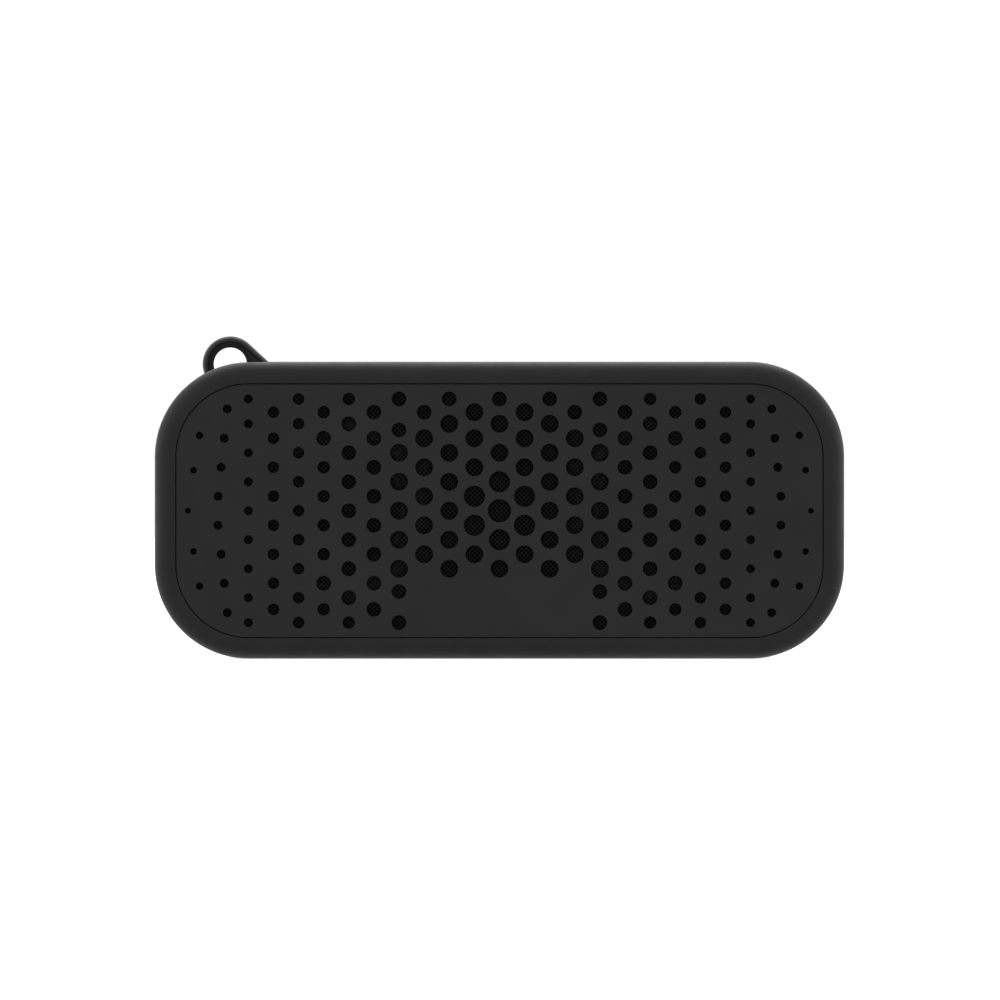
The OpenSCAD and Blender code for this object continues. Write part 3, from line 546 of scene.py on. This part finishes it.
def sunk_field(outline, island, face_y, depth):
    """A cutter between two loops whose walls lean by half of its depth."""
    lean = 0.5 * abs(depth)
    levels = [(lean, face_y + depth), (0, face_y), (0, face_y - math.copysign(1, depth))]
    loops = [(outline, False), (island, True)]
    points, faces, caps = [], [], [[], []]
    for loop, hole in loops:
        first = len(points)
        for off, y in levels:
            points += [(x, y, z) for x, z in moved_in(loop, off, hole)]
        for k in range(len(levels) - 1):
            faces += band(first + k * len(loop), first + (k + 1) * len(loop), len(loop))
        caps[0].append((first, moved_in(loop, levels[0][0], hole)))
        caps[1].append((first + (len(levels) - 1) * len(loop), np.asarray(loop, float)))
    for cap in caps:
        number = [start + i for start, loop in cap for i in range(len(loop))]
        faces += [[number[i] for i in tri] for tri in fill([loop for _, loop in cap])]
    return make_object("field", points, faces)


def make_loop():
    eye_r, loop_r = 4.0, 6.7
    stem_x, foot_x, stem_z, foot_z = -61.0, -55.55, 62.5, 71.2
    tangent = 47.2
    edge_r, edge_stretch, eye_edge_r = 1.15, 1.7, 0.45
    bead_w, eye_bead_w, field_depth, field_z = 1.2, 0.5, 0.7, 69.5
    meet = math.degrees(math.asin((stem_x - EYE[0]) / loop_r)) - 90
    outline = np.vstack([
        arc(EYE, loop_r, tangent, 360 + meet, 64),
        [EYE + loop_r * np.array([math.cos(math.radians(meet)), math.sin(math.radians(meet))])],
        [(stem_x, stem_z), (foot_x, stem_z), (foot_x, foot_z)],
    ])
    eye = circle(*EYE, eye_r, 64)
    loop = plate("loop", outline, [eye], LOOP_FRONT_Y, LOOP_REAR_Y, edge_r, edge_r, steps=8,
                 hole_r=eye_edge_r, deep=edge_stretch)
    # The sunk field runs round the ring and into the web, and its walls lean outwards
    field_r, turn = loop_r - bead_w, math.radians(tangent)
    start = math.degrees(math.asin((field_z - EYE[1]) / field_r))
    back_x = EYE[0] + (field_r - (field_z - EYE[1]) * math.sin(turn)) / math.cos(turn)
    field = np.vstack([
        arc(EYE, field_r, tangent, 360 + start, 72),
        [EYE + field_r * np.array([math.cos(math.radians(start)), math.sin(math.radians(start))])],
        [(min(back_x, foot_x - bead_w), field_z), (foot_x - bead_w, EYE[1] + 0.1)],
    ])
    inner = circle(*EYE, eye_r + eye_bead_w, 72)
    faces = ((LOOP_FRONT_Y, field_depth), (LOOP_REAR_Y, -field_depth))
    return boolean(loop, [sunk_field(field, inner, y, depth) for y, depth in faces], flat_ends=True)


# ---------- buttons and the light ----------


def bar_loop(cx, cy, w, d):
    return rounded_rect(cx, cy, w, d, 0.3 * min(w, d), 4)


def icon(kind, x):
    """Cutters for the sign on a button's cap."""
    z0, z1, bar, long_bar = CAP_TOP_Z - 0.5, CAP_TOP_Z + 1, 0.8, 3.6
    if kind == "minus":
        return [prism_z("icon", bar_loop(x, 0, long_bar, bar), z0, z1)]
    if kind == "plus":
        sizes = ((long_bar, bar), (bar, long_bar))
        return [prism_z("icon", bar_loop(x, 0, *size), z0, z1) for size in sizes]
    if kind == "play":
        r, mid = 1.7, x - 0.9
        third = [(mid + r * math.cos(TAU * k / 3), r * math.sin(TAU * k / 3)) for k in range(3)]
        bars = [prism_z("icon", bar_loop(x + dx, 0, bar, 3), z0, z1) for dx in (1.15, 2.35)]
        return [prism_z("icon", third, z0, z1), *bars]
    r_out, r_in = 2.2, 1.5
    turns = np.radians(np.linspace(135, 405, 41))
    outer = [(x + r_out * math.cos(t), r_out * math.sin(t)) for t in turns]
    inner = [(x + r_in * math.cos(t), r_in * math.sin(t)) for t in turns[::-1]]
    return [prism_z("icon", outer + inner, z0, z1), prism_z("icon", bar_loop(x, 1.3, bar, 1.8), z0, z1)]


def make_button(kind, x):
    """A cap with its retaining flange under the sleeve and a plunger that reaches the switch."""
    flange_z, under_z, stem_z = 68.75, 69.35, 64.6
    plunger_r, flange_r, chamfer, end_chamfer = 1.5, 5.2, 0.1, 0.2
    crown, edge = 0.12, 0.55
    profile = [(0, stem_z), (plunger_r - end_chamfer, stem_z), (plunger_r, stem_z + end_chamfer)]
    profile += [(plunger_r, flange_z), (flange_r - chamfer, flange_z), (flange_r, flange_z + chamfer)]
    profile += [(flange_r, under_z - chamfer), (flange_r - chamfer, under_z), (BUTTON_R, under_z)]
    rim_z = CAP_TOP_Z - crown
    for t in np.linspace(0, math.pi / 2, 7):
        profile.append((BUTTON_R - edge * (1 - math.cos(t)), rim_z - edge * (1 - math.sin(t))))
    for share in (0.75, 0.5, 0.25):
        r = share * (BUTTON_R - edge)
        profile.append((r, CAP_TOP_Z - crown * share**2))
    profile.append((0, CAP_TOP_Z))
    cap = lathe(kind + "_cap", profile, (x, 0), "z", 72)
    return boolean(cap, icon(kind, x))


def make_light():
    low, r, chamfer = 63.4, 1.0, 0.15
    dome_h = 0.45
    dome_z = CAP_TOP_Z - dome_h
    profile = [(0, low), (r - chamfer, low), (r, low + chamfer), (r, dome_z)]
    turns = np.linspace(0.2, math.pi / 2 - 0.2, 6)
    profile += [(r * math.cos(t), dome_z + dome_h * math.sin(t)) for t in turns]
    return lathe("light_lens", profile + [(0, CAP_TOP_Z)], (-LED_X, 0), "z", 40)


# ---------- rear cover, flap and screws ----------


def guard_holes():
    """Middles of the cover's holes in front of the radiator: rows of six, seven and six."""
    holes = []
    for j in (-1, 0, 1):
        for i in range(-3, 4):
            x = HOLE_PITCH * (i + (0.5 if j else 0))
            if abs(x) < 3.2 * HOLE_PITCH:
                holes.append((x, RADIATOR_Z + j * COLUMN_PITCH))
    return holes


def bends(loop):
    """Marks the points of a closed loop where it turns."""
    before, after = loop - np.roll(loop, 1, 0), np.roll(loop, -1, 0) - loop
    cross = before[:, 0] * after[:, 1] - before[:, 1] * after[:, 0]
    return np.abs(cross) > 1e-6 * np.linalg.norm(before, axis=1) * np.linalg.norm(after, axis=1)


def make_cover():
    """The rear cover, from its inner face outwards: levels are (inset, y)."""
    face_inset, rib_inset, flange_inset, step_inset = 5.3, 7.3, 2.4, 3.6
    inner_y, front_y, flange_y, step_y = 23.2, 20.6, 22.2, 23.8
    levels = [(rib_inset, inner_y), (rib_inset, front_y), (flange_inset, front_y), (flange_inset, flange_y)]
    levels += [(step_inset, flange_y), (step_inset, step_y), (face_inset, step_y)]
    levels += [(face_inset + off, OUTER_Y - d) for off, d in reversed(rim(0.35, 4))]
    turning = bends(ring(face_inset, 1))
    points, faces, count = [], [], int(turning.sum())
    for n, y in levels:
        loop = ring(n, 1)[turning]
        points.append(np.c_[loop[:, 0], np.full(count, y), loop[:, 1]])
    for k in range(len(levels) - 1):
        faces += band(k * count, (k + 1) * count, count)
    faces += fill([ring(rib_inset, 1)[turning]])
    faces += fill([ring(levels[-1][0], 1)[turning]], (len(levels) - 1) * count)
    cover = make_object("cover", np.vstack(points), faces)
    boss_y, boss_end_y, boss_r, boss_chamfer = 20.7, 23.5, 3.4, 0.2
    boss = [(0, boss_y), (boss_r - boss_chamfer, boss_y), (boss_r, boss_y + boss_chamfer)]
    boss += [(boss_r, boss_end_y), (0, boss_end_y)]
    bosses = [lathe("boss", boss, p, steps=32) for p in CASE_SCREWS]
    pad_y, port_end_y, bore_end_y, recess_y = 20.65, 25, 24.5, 23.7
    pad = prism("pad", rounded_rect(54.2, 13.3, 26, 13.8, 1), pad_y, boss_end_y)
    boolean(cover, bosses + [pad], "UNION")
    guard_r, sink_r, bore_r, socket_r, scoop_r = 1.9, 2.8, 1.6, 3.3, 2.2
    through_y = 19
    round_cuts = [flared("guard", p, guard_r, 20, OUTER_Y, 0.3, "y", 32) for p in guard_holes()]
    round_cuts += [flared("sink", p, sink_r, SCREW_SEAT_Y, OUTER_Y, 0.25, "y", 40) for p in CASE_SCREWS]
    recess = prism("recess", rounded_rect(53.6, FLAP_MID_Z, 25, 11.4, 1), recess_y, REAR_Y + 1)
    slot = prism("slot", stadium(*USB, 12.4, 7), through_y, port_end_y)
    socket = prism("socket", circle(*AUX, socket_r, 40), through_y, port_end_y)
    bore_loops = [circle(*p, bore_r, 24) for p in CASE_SCREWS]
    bores = joined("bores", [prism("bore", loop, through_y, bore_end_y) for loop in bore_loops])
    scoop = flared("scoop", (FLAP_X[1] + 0.4, FLAP_MID_Z), scoop_r, 24.2, OUTER_Y, 0.5, "y", 40)
    cuts = [joined("cuts", round_cuts), recess, slot, socket, bores, scoop]
    return boolean(cover, cuts, smooth_below=30, flat_ends=True)


def make_flap():
    """The port flap with its hinge barrel, two plugs, a finger scoop and four grip grooves."""
    y0, y1 = 23.85, 25.55
    pivot = (FLAP_X[0], 24.7)
    end_r, hinge_r = 1.2, 0.6
    outline = []
    for side, level, start in ((1, 1, 0), (0, 1, 90), (0, 0, 180), (1, 0, 270)):
        r = end_r if side else hinge_r
        centre = (FLAP_X[side] + (-r if side else r), FLAP_Z[level] + (-r if level else r))
        outline.append(arc(centre, r, start, start + 90, 8))
        end = math.radians(start + 90)
        outline.append([(centre[0] + r * math.cos(end), centre[1] + r * math.sin(end))])
    flap = plate("flap", np.vstack(outline), [], y0, y1, 0.3, 0.4, steps=4)
    low, high = FLAP_Z
    barrel_r, chamfer, pin_r = 1.0, 0.15, 0.55
    barrel_low = [(0, low), (barrel_r - chamfer, low), (barrel_r, low + chamfer)]
    barrel_high = [(barrel_r, high - chamfer), (barrel_r - chamfer, high), (0, high)]
    barrel = lathe("barrel", barrel_low + barrel_high, pivot, "z", 40)
    plug_l, plug_sunk = 0.8, 0.5
    plug_loops = (stadium(*USB, 10.8, 5.4), circle(*AUX, 2.5, 40))
    plugs = [plate("plug", loop, [], y0 - plug_l, y0 + plug_sunk, 0.3, 0.05) for loop in plug_loops]
    boolean(flap, [barrel, *plugs], "UNION")
    pin = lathe("pin", [(0, 6), (pin_r, 6), (pin_r, 20), (0, 20)], pivot, "z", 24)
    scoop = flared("scoop", (FLAP_X[1] + 1.2, FLAP_MID_Z), 2.2, y0 + 0.9, y1, 0.4, "y", 48)
    groove_x, groove_pitch, groove_depth = 56.6, 1.1, 0.25
    groove_places = [groove_x + groove_pitch * k for k in range(4)]
    groove_loops = [rounded_rect(x, FLAP_MID_Z, 0.45, 5.0, 0.2, 4) for x in groove_places]
    grooves = [prism("groove", loop, y1 - groove_depth, y1 + 1) for loop in groove_loops]
    return boolean(flap, [pin, scoop, joined("grooves", grooves)], flat_ends=True)


def make_screw(p, turn):
    """A pan-head screw of the rear cover, its cross recess turned by an angle."""
    seat, shank_r, length = SCREW_SEAT_Y, 1.25, 15
    head_r, head_h, head_wall, recess_depth = 2.5, 1.5, 0.4, 0.75
    core_r, thread = 0.78 * shank_r, 0.32 * shank_r
    tip_r, tip_l, plain_l = 0.35 * shank_r, 0.6, 1.5
    profile = [(0, seat - length), (tip_r, seat - length)]
    for k in range(int((length - plain_l) / thread)):
        at = seat - (length - tip_l - k * thread)
        profile += [(core_r, at), (shank_r, at + thread * 0.5)]
    profile += [(core_r, seat), (head_r - 0.1, seat), (head_r, seat + 0.12)]
    for t in np.linspace(0, math.pi / 2 - 0.15, 6):
        height = head_h * (head_wall + (1 - head_wall) * math.sin(t))
        profile.append((head_r * math.cos(0.9 * t) ** 0.8, seat + height))
    top = seat + head_h
    screw = lathe("screw", profile + [(0, top)], p, "y", 40)
    arms = []
    for a in (turn, turn + math.pi / 2):
        c, s = math.cos(a), math.sin(a)
        half_l, half_w = 0.72 * head_r, 0.15 * head_r
        loop = [(p[0] + u * c - v * s, p[1] + u * s + v * c)
                for u, v in ((-half_l, -half_w), (half_l, -half_w), (half_l, half_w), (-half_l, half_w))]
        arms.append(prism("arm", loop, top - recess_depth, top + 1))
    return boolean(screw, arms, smooth_below=40)


# ---------- materials ----------


class Surface:
    """One procedural material and the nodes that colour, roughen and bump it."""

    def __init__(self, name, **shader):
        self.material = bpy.data.materials.new(name)
        self.material.use_nodes = True
        self.nodes = self.material.node_tree.nodes
        self.links = self.material.node_tree.links
        self.shader = self.nodes["Principled BSDF"]
        for key, value in shader.items():
            self.shader.inputs[key.replace("_", " ")].default_value = value
        self.place = self.nodes.new("ShaderNodeTexCoord").outputs["Object"]

    def noise(self, scale, detail=3.0):
        node = self.nodes.new("ShaderNodeTexNoise")
        node.inputs["Scale"].default_value = scale
        node.inputs["Detail"].default_value = detail
        self.links.new(self.place, node.inputs["Vector"])
        return node.outputs["Fac"]

    def span(self, source, low, high, to_low, to_high):
        node = self.nodes.new("ShaderNodeMapRange")
        for key, value in (("From Min", low), ("From Max", high), ("To Min", to_low), ("To Max", to_high)):
            node.inputs[key].default_value = value
        self.links.new(source, node.inputs["Value"])
        return node.outputs["Result"]

    def blend(self, factor, a, b):
        node = self.nodes.new("ShaderNodeMix")
        node.data_type = "RGBA"
        self.links.new(factor, node.inputs["Factor"])
        for socket, value in ((node.inputs[6], a), (node.inputs[7], b)):
            if isinstance(value, tuple):
                socket.default_value = (*value, 1)
            else:
                self.links.new(value, socket)
        return node.outputs[2]

    def multiply(self, a, b):
        node = self.nodes.new("ShaderNodeMath")
        node.operation = "MULTIPLY"
        self.links.new(a, node.inputs[0])
        self.links.new(b, node.inputs[1])
        return node.outputs[0]

    def edges(self, reach=0.25):
        """1 within reach millimetres of an edge, where the rounded normal leaves the true one."""
        rounded = self.nodes.new("ShaderNodeBevel")
        rounded.samples = 4
        rounded.inputs["Radius"].default_value = reach * MM
        true = self.nodes.new("ShaderNodeNewGeometry")
        along = self.nodes.new("ShaderNodeVectorMath")
        along.operation = "DOT_PRODUCT"
        self.links.new(rounded.outputs["Normal"], along.inputs[0])
        self.links.new(true.outputs["Normal"], along.inputs[1])
        return self.span(along.outputs["Value"], 0.99, 0.8, 0, 1)

    def color(self, source):
        self.links.new(source, self.shader.inputs["Base Color"])

    def roughness(self, source):
        self.links.new(source, self.shader.inputs["Roughness"])

    def bump(self, layers):
        """layers are (height, depth in millimetres)."""
        normal = None
        for height, depth in layers:
            node = self.nodes.new("ShaderNodeBump")
            node.inputs["Strength"].default_value = 1
            node.inputs["Distance"].default_value = depth * MM
            self.links.new(height, node.inputs["Height"])
            if normal:
                self.links.new(normal, node.inputs["Normal"])
            normal = node.outputs["Normal"]
        self.links.new(normal, self.shader.inputs["Normal"])


def finished(name, low, high, rough, grain=(2500, 0.01), mottle=90, wear=None, **shader):
    """A material between two colours, with a range of roughness, grain (scale, depth) and worn edges."""
    grain_scale, grain_depth = grain
    made = Surface(name, **shader)
    base = made.blend(made.span(made.noise(mottle), 0.35, 0.65, 0, 1), low, high)
    fine = made.noise(grain_scale, 4)
    if wear:
        patchy = made.multiply(made.edges(), made.span(made.noise(600), 0.35, 0.7, 0.2, 1))
        base = made.blend(patchy, base, wear)
    made.color(base)
    made.roughness(made.span(made.noise(mottle * 3), 0.3, 0.7, *rough))
    made.bump([(made.noise(grain_scale / 8), grain_depth), (fine, grain_depth)])
    return made


def weave(name, low, high, pitch, depth, rough):
    """Cloth: two crossing rows of threads in X and Z."""
    made = Surface(name)
    heights = []
    for axis in ("X", "Z"):
        node = made.nodes.new("ShaderNodeTexWave")
        node.bands_direction = axis
        node.inputs["Scale"].default_value = 1 / (pitch * MM) / 20 * math.pi
        node.inputs["Distortion"].default_value = 0.6
        node.inputs["Detail"].default_value = 1
        made.links.new(made.place, node.inputs["Vector"])
        heights.append(node.outputs["Fac"])
    both = made.multiply(*heights)
    made.color(made.blend(both, low, high))
    made.roughness(made.span(made.noise(900), 0.3, 0.7, *rough))
    made.bump([(both, depth), (made.noise(5000), depth * 0.3)])
    return made


def turned(name, low, high, rough, pitch, axis, **shader):
    """Metal or wire with fine rings or windings along an axis."""
    made = Surface(name, **shader)
    node = made.nodes.new("ShaderNodeTexWave")
    node.bands_direction = axis
    node.inputs["Scale"].default_value = 1 / (pitch * MM) / 20 * math.pi
    node.inputs["Distortion"].default_value = 0.4
    made.links.new(made.place, node.inputs["Vector"])
    made.color(made.blend(made.span(made.noise(300), 0.3, 0.7, 0, 1), low, high))
    made.roughness(made.span(made.noise(700), 0.3, 0.7, *rough))
    made.bump([(node.outputs["Fac"], 0.02), (made.noise(4000), 0.004)])
    return made


def board(name):
    """Green solder mask over copper tracks."""
    made = Surface(name, Specular_IOR_Level=0.6)
    node = made.nodes.new("ShaderNodeTexBrick")
    for key, value in (("Scale", 260), ("Mortar Size", 0.06), ("Mortar Smooth", 0.1), ("Row Height", 0.5)):
        node.inputs[key].default_value = value
    made.links.new(made.place, node.inputs["Vector"])
    tracks = made.multiply(node.outputs["Fac"], made.span(made.noise(220), 0.45, 0.55, 0, 1))
    mask = made.blend(made.span(made.noise(80), 0.3, 0.7, 0, 1), (0.004, 0.06, 0.025), (0.006, 0.085, 0.035))
    made.color(made.blend(tracks, mask, (0.02, 0.16, 0.06)))
    made.roughness(made.span(made.noise(500), 0.3, 0.7, 0.22, 0.4))
    made.bump([(tracks, 0.03), (made.noise(3000), 0.003)])
    return made


RUBBER = ((0.0195, 0.0188, 0.0190), (0.0225, 0.0216, 0.0219))
PLASTIC = ((0.0262, 0.0262, 0.0276), (0.0290, 0.0290, 0.0306))
BLACK = ((0.010, 0.010, 0.0105), (0.014, 0.014, 0.0145))
STEEL = ((0.42, 0.42, 0.43), (0.55, 0.55, 0.56))

materials = {
    "sleeve_rubber": finished(
        "sleeve_rubber", *RUBBER, (0.50, 0.60), (2200, 0.012), 70, (0.040, 0.038, 0.038),
        Specular_IOR_Level=0.42, Sheen_Weight=0.12, Sheen_Roughness=0.45,
    ),
    "button_rubber": finished(
        "button_rubber", *RUBBER, (0.46, 0.56), (2600, 0.012), 150, (0.045, 0.043, 0.043),
        Specular_IOR_Level=0.42, Sheen_Weight=0.12, Sheen_Roughness=0.45,
    ),
    "loop_rubber": finished(
        "loop_rubber", *RUBBER, (0.38, 0.48), (2200, 0.010), 150, (0.045, 0.043, 0.043),
        Specular_IOR_Level=0.5, Sheen_Weight=0.1,
    ),
    "panel_plastic": finished(
        "panel_plastic", *PLASTIC, (0.50, 0.62), (3200, 0.014), 45, (0.05, 0.05, 0.052),
        Specular_IOR_Level=0.4,
    ),
    "mesh_metal": finished(
        "mesh_metal", (0.006, 0.006, 0.006), (0.010, 0.010, 0.010), (0.5, 0.6), (3000, 0.006), 300,
        (0.02, 0.02, 0.02), Specular_IOR_Level=0.3,
    ),
    "case_plastic": finished(
        "case_plastic", *PLASTIC, (0.48, 0.60), (2600, 0.018), 60, (0.05, 0.05, 0.052),
        Specular_IOR_Level=0.4,
    ),
    "seal_rubber": finished("seal_rubber", *BLACK, (0.5, 0.65), (1800, 0.015), 200, (0.03, 0.03, 0.03)),
    "seal_foam": finished(
        "seal_foam", (0.012, 0.012, 0.012), (0.03, 0.03, 0.03), (0.85, 0.95), (1600, 0.08), 700,
    ),
    "screw_steel": finished(
        "screw_steel", (0.10, 0.10, 0.105), (0.16, 0.16, 0.165), (0.28, 0.42), (3500, 0.004), 500,
        (0.35, 0.35, 0.36), Metallic=1.0,
    ),
    "pin_steel": finished(
        "pin_steel", *STEEL, (0.2, 0.35), (4000, 0.003), 400, (0.7, 0.7, 0.72), Metallic=1.0,
    ),
    "battery_wrap": finished(
        "battery_wrap", (0.01, 0.06, 0.22), (0.014, 0.075, 0.26), (0.25, 0.38), (900, 0.012), 90,
        (0.05, 0.14, 0.36), Coat_Weight=0.3,
    ),
    "lead_red": finished(
        "lead_red", (0.35, 0.012, 0.010), (0.45, 0.02, 0.016), (0.35, 0.5), (1800, 0.01), 250,
    ),
    "circuit_board": board("circuit_board"),
    "port_steel": finished(
        "port_steel", *STEEL, (0.18, 0.32), (3000, 0.004), 350, (0.75, 0.75, 0.76), Metallic=1.0,
    ),
    "port_plastic": finished(
        "port_plastic", *BLACK, (0.35, 0.5), (2400, 0.01), 200, (0.04, 0.04, 0.04),
    ),
    "chip_plastic": finished(
        "chip_plastic", (0.012, 0.012, 0.013), (0.02, 0.02, 0.021), (0.55, 0.7), (3500, 0.012), 400,
    ),
    "capacitor_aluminium": finished(
        "capacitor_aluminium", (0.5, 0.5, 0.52), (0.62, 0.62, 0.64), (0.25, 0.4), (2600, 0.006), 300,
        (0.8, 0.8, 0.8), Metallic=1.0,
    ),
    "led_lens": finished(
        "led_lens", (0.62, 0.65, 0.68), (0.70, 0.73, 0.76), (0.12, 0.24), (1500, 0.006), 300,
        Transmission_Weight=0.35,
    ),
    "ribbon_plastic": finished(
        "ribbon_plastic", (0.50, 0.47, 0.40), (0.60, 0.57, 0.50), (0.4, 0.55), (1500, 0.01), 200,
    ),
    "surround_rubber": finished(
        "surround_rubber", *BLACK, (0.42, 0.55), (2000, 0.01), 200, (0.03, 0.03, 0.03),
    ),
    "radiator_plastic": finished(
        "radiator_plastic", (0.018, 0.018, 0.02), (0.026, 0.026, 0.028), (0.35, 0.5), (2400, 0.012),
        120, (0.06, 0.06, 0.06),
    ),
    "plated_steel": turned(
        "plated_steel", (0.40, 0.39, 0.36), (0.55, 0.54, 0.50), (0.25, 0.4), 0.4, "Y", Metallic=1.0,
    ),
    "basket_steel": finished(
        "basket_steel", (0.008, 0.008, 0.0085), (0.014, 0.014, 0.0145), (0.5, 0.65), (2200, 0.01), 160,
        (0.05, 0.05, 0.05), Specular_IOR_Level=0.3,
    ),
    "cone_paper": finished(
        "cone_paper", (0.005, 0.005, 0.0055), (0.010, 0.010, 0.0105), (0.7, 0.85), (1500, 0.05), 500,
        Specular_IOR_Level=0.25,
    ),
    # Painted shade: near-black with little specular, darker than the chassis's own plastic, for the chassis
    # seen in shade behind the holes
    "chassis_painted_shade": finished(
        "chassis_painted_shade", (0.003, 0.003, 0.003), (0.005, 0.005, 0.005), (0.75, 0.9), (2200, 0.02), 90,
        Specular_IOR_Level=0.12,
    ),
    "coil_copper": turned(
        "coil_copper", (0.55, 0.20, 0.08), (0.75, 0.32, 0.14), (0.25, 0.4), 0.2, "Y", Metallic=1.0,
    ),
    "spider_cloth": weave(
        "spider_cloth", (0.30, 0.18, 0.06), (0.55, 0.38, 0.16), 0.45, 0.06, (0.75, 0.9),
    ),
    "magnet_ferrite": finished(
        "magnet_ferrite", (0.03, 0.03, 0.03), (0.055, 0.055, 0.054), (0.5, 0.68), (1500, 0.03), 350,
        (0.12, 0.12, 0.12),
    ),
}

# Painted shade: pieces seen through the panel's and cover's holes are given darker materials than their
# slot's own finish, standing in for the shade behind the holes
INNER_PAINTED_SHADE = {
    "chassis": "chassis_painted_shade",
    "driver_screws": "basket_steel",
    "radiator_screws": "basket_steel",
}
for item in frame["record"]["subparts"]:
    node = frame["nodes"][item["node"]]
    node.data.materials.clear()
    # Painted shade: the chassis and the driver and radiator screws take a darker material than their slot's
    # own
    finish = INNER_PAINTED_SHADE.get(item["node"], item["material_slot"])
    node.data.materials.append(materials[finish].material)


def place(obj, body, slot, *nodes):
    """Gives a piece its finish, its body and the CAD nodes that it stands for."""
    obj.data.materials.clear()
    obj.data.materials.append(materials[slot].material)
    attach(obj, body)
    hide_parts(*nodes)
    return obj


place(make_sleeve(), "root", "sleeve_rubber", "rubber_sleeve")
place(make_panel(), "root", "panel_plastic", "front_grille")
place(make_mesh_sheet(), "root", "mesh_metal", "grille_mesh")
place(make_loop(), "root", "loop_rubber", "hanging_loop")
for kind, x in BUTTON_X.items():
    place(make_button(kind, x), kind + "_button", "button_rubber", kind + "_button")
place(make_light(), "root", "led_lens", "light_pipe")
place(make_cover(), "root", "case_plastic", "rear_cover")
place(make_flap(), "port_flap", "seal_rubber", "port_flap")
# Each screw stopped at an angle of its own
screws = [make_screw(p, 0.3 + 0.7 * k) for k, p in enumerate(CASE_SCREWS)]
place(joined("rear_screws", screws, 40), "root", "screw_steel", "case_screws")

# ---------- floor, light and camera ----------

FLOOR_HALF = 3.0
FLOOR_Z = -0.0001  # just under the object, so that its flat underside stays in front of the floor
floor_mesh = bpy.data.meshes.new("floor")
floor_corners = [(x * FLOOR_HALF, y * FLOOR_HALF, FLOOR_Z) for x, y in ((-1, -1), (1, -1), (1, 1), (-1, 1))]
floor_mesh.from_pydata(floor_corners, [], [(0, 1, 2, 3)])
floor = bpy.data.objects.new("floor", floor_mesh)
bpy.context.scene.collection.objects.link(floor)
floor_material = bpy.data.materials.new("floor")
floor_material.use_nodes = True
floor_shader = floor_material.node_tree.nodes["Principled BSDF"]
floor_shader.inputs["Base Color"].default_value = (0.8, 0.8, 0.8, 1)
floor_shader.inputs["Roughness"].default_value = 0.9
floor_shader.inputs["Emission Color"].default_value = (1, 1, 1, 1)
floor_shader.inputs["Emission Strength"].default_value = 0.9
floor_mesh.materials.append(floor_material)
floor.visible_diffuse = False
floor.visible_glossy = False

world = bpy.data.worlds.new("studio")
world.use_nodes = True
bpy.context.scene.world = world
tree = world.node_tree
fill_light = tree.nodes["Background"]
fill_light.inputs["Color"].default_value = (1, 1, 1, 1)


def world_span(source, low, high, to_low, to_high):
    """A smooth change of light with direction."""
    node = tree.nodes.new("ShaderNodeMapRange")
    node.interpolation_type = "SMOOTHSTEP"
    for key, value in (("From Min", low), ("From Max", high), ("To Min", to_low), ("To Max", to_high)):
        node.inputs[key].default_value = value
    tree.links.new(source, node.inputs["Value"])
    return node.outputs["Result"]


# A bright backdrop behind the object, a dimmer room in front, and less light from below
BACKDROP = 1.05
ROOM = 0.49
BELOW = 0.8
direction = tree.nodes.new("ShaderNodeSeparateXYZ")
tree.links.new(tree.nodes.new("ShaderNodeTexCoord").outputs["Generated"], direction.inputs["Vector"])
strength = tree.nodes.new("ShaderNodeMath")
strength.operation = "MULTIPLY"
tree.links.new(world_span(direction.outputs["Y"], -0.35, 0.95, ROOM, BACKDROP), strength.inputs[0])
tree.links.new(world_span(direction.outputs["Z"], -0.9, 0.4, BELOW, 1.0), strength.inputs[1])
tree.links.new(strength.outputs["Value"], fill_light.inputs["Strength"])
backdrop = tree.nodes.new("ShaderNodeBackground")
backdrop.inputs["Color"].default_value = (1, 1, 1, 1)
backdrop.inputs["Strength"].default_value = BACKDROP
path = tree.nodes.new("ShaderNodeLightPath")
either = tree.nodes.new("ShaderNodeMixShader")
tree.links.new(path.outputs["Is Camera Ray"], either.inputs["Fac"])
tree.links.new(fill_light.outputs["Background"], either.inputs[1])
tree.links.new(backdrop.outputs["Background"], either.inputs[2])
tree.links.new(either.outputs["Shader"], tree.nodes["World Output"].inputs["Surface"])


def area_light(name, at, aim, size, watts):
    data = bpy.data.lights.new(name, "AREA")
    data.shape = "RECTANGLE"
    data.size, data.size_y = size
    data.energy = watts
    lamp = bpy.data.objects.new(name, data)
    lamp.location = at
    lamp.rotation_euler = (Vector(aim) - Vector(at)).to_track_quat("-Z", "Y").to_euler()
    bpy.context.scene.collection.objects.link(lamp)


AIM = (0, 0, 0.04)
area_light("top_box", (0, 0.5, 0.8), AIM, (1.0, 0.5), 1.4)
area_light("left_box", (-0.9, 0, 0.3), AIM, (0.5, 0.7), 0.5)
area_light("right_box", (0.9, 0, 0.3), AIM, (0.5, 0.7), 0.5)

CAMERA_AWAY = 10.0
CAMERA_RISE = math.radians(0.5)
CAMERA_X = 0.00013
AIM_Z = 0.03836
FRAME_WIDTH = 0.2414
SENSOR = 36.0
camera_data = bpy.data.cameras.new("camera")
camera_data.sensor_width = SENSOR
camera_data.lens = SENSOR * CAMERA_AWAY / FRAME_WIDTH
camera = bpy.data.objects.new("camera", camera_data)
camera.location = (CAMERA_X, FRONT_Y * MM - CAMERA_AWAY * math.cos(CAMERA_RISE),
                   AIM_Z + CAMERA_AWAY * math.sin(CAMERA_RISE))
camera.rotation_euler = (math.pi / 2 - CAMERA_RISE, 0, 0)
bpy.context.scene.collection.objects.link(camera)
bpy.context.scene.camera = camera
bpy.context.scene.view_settings.view_transform = "Standard"
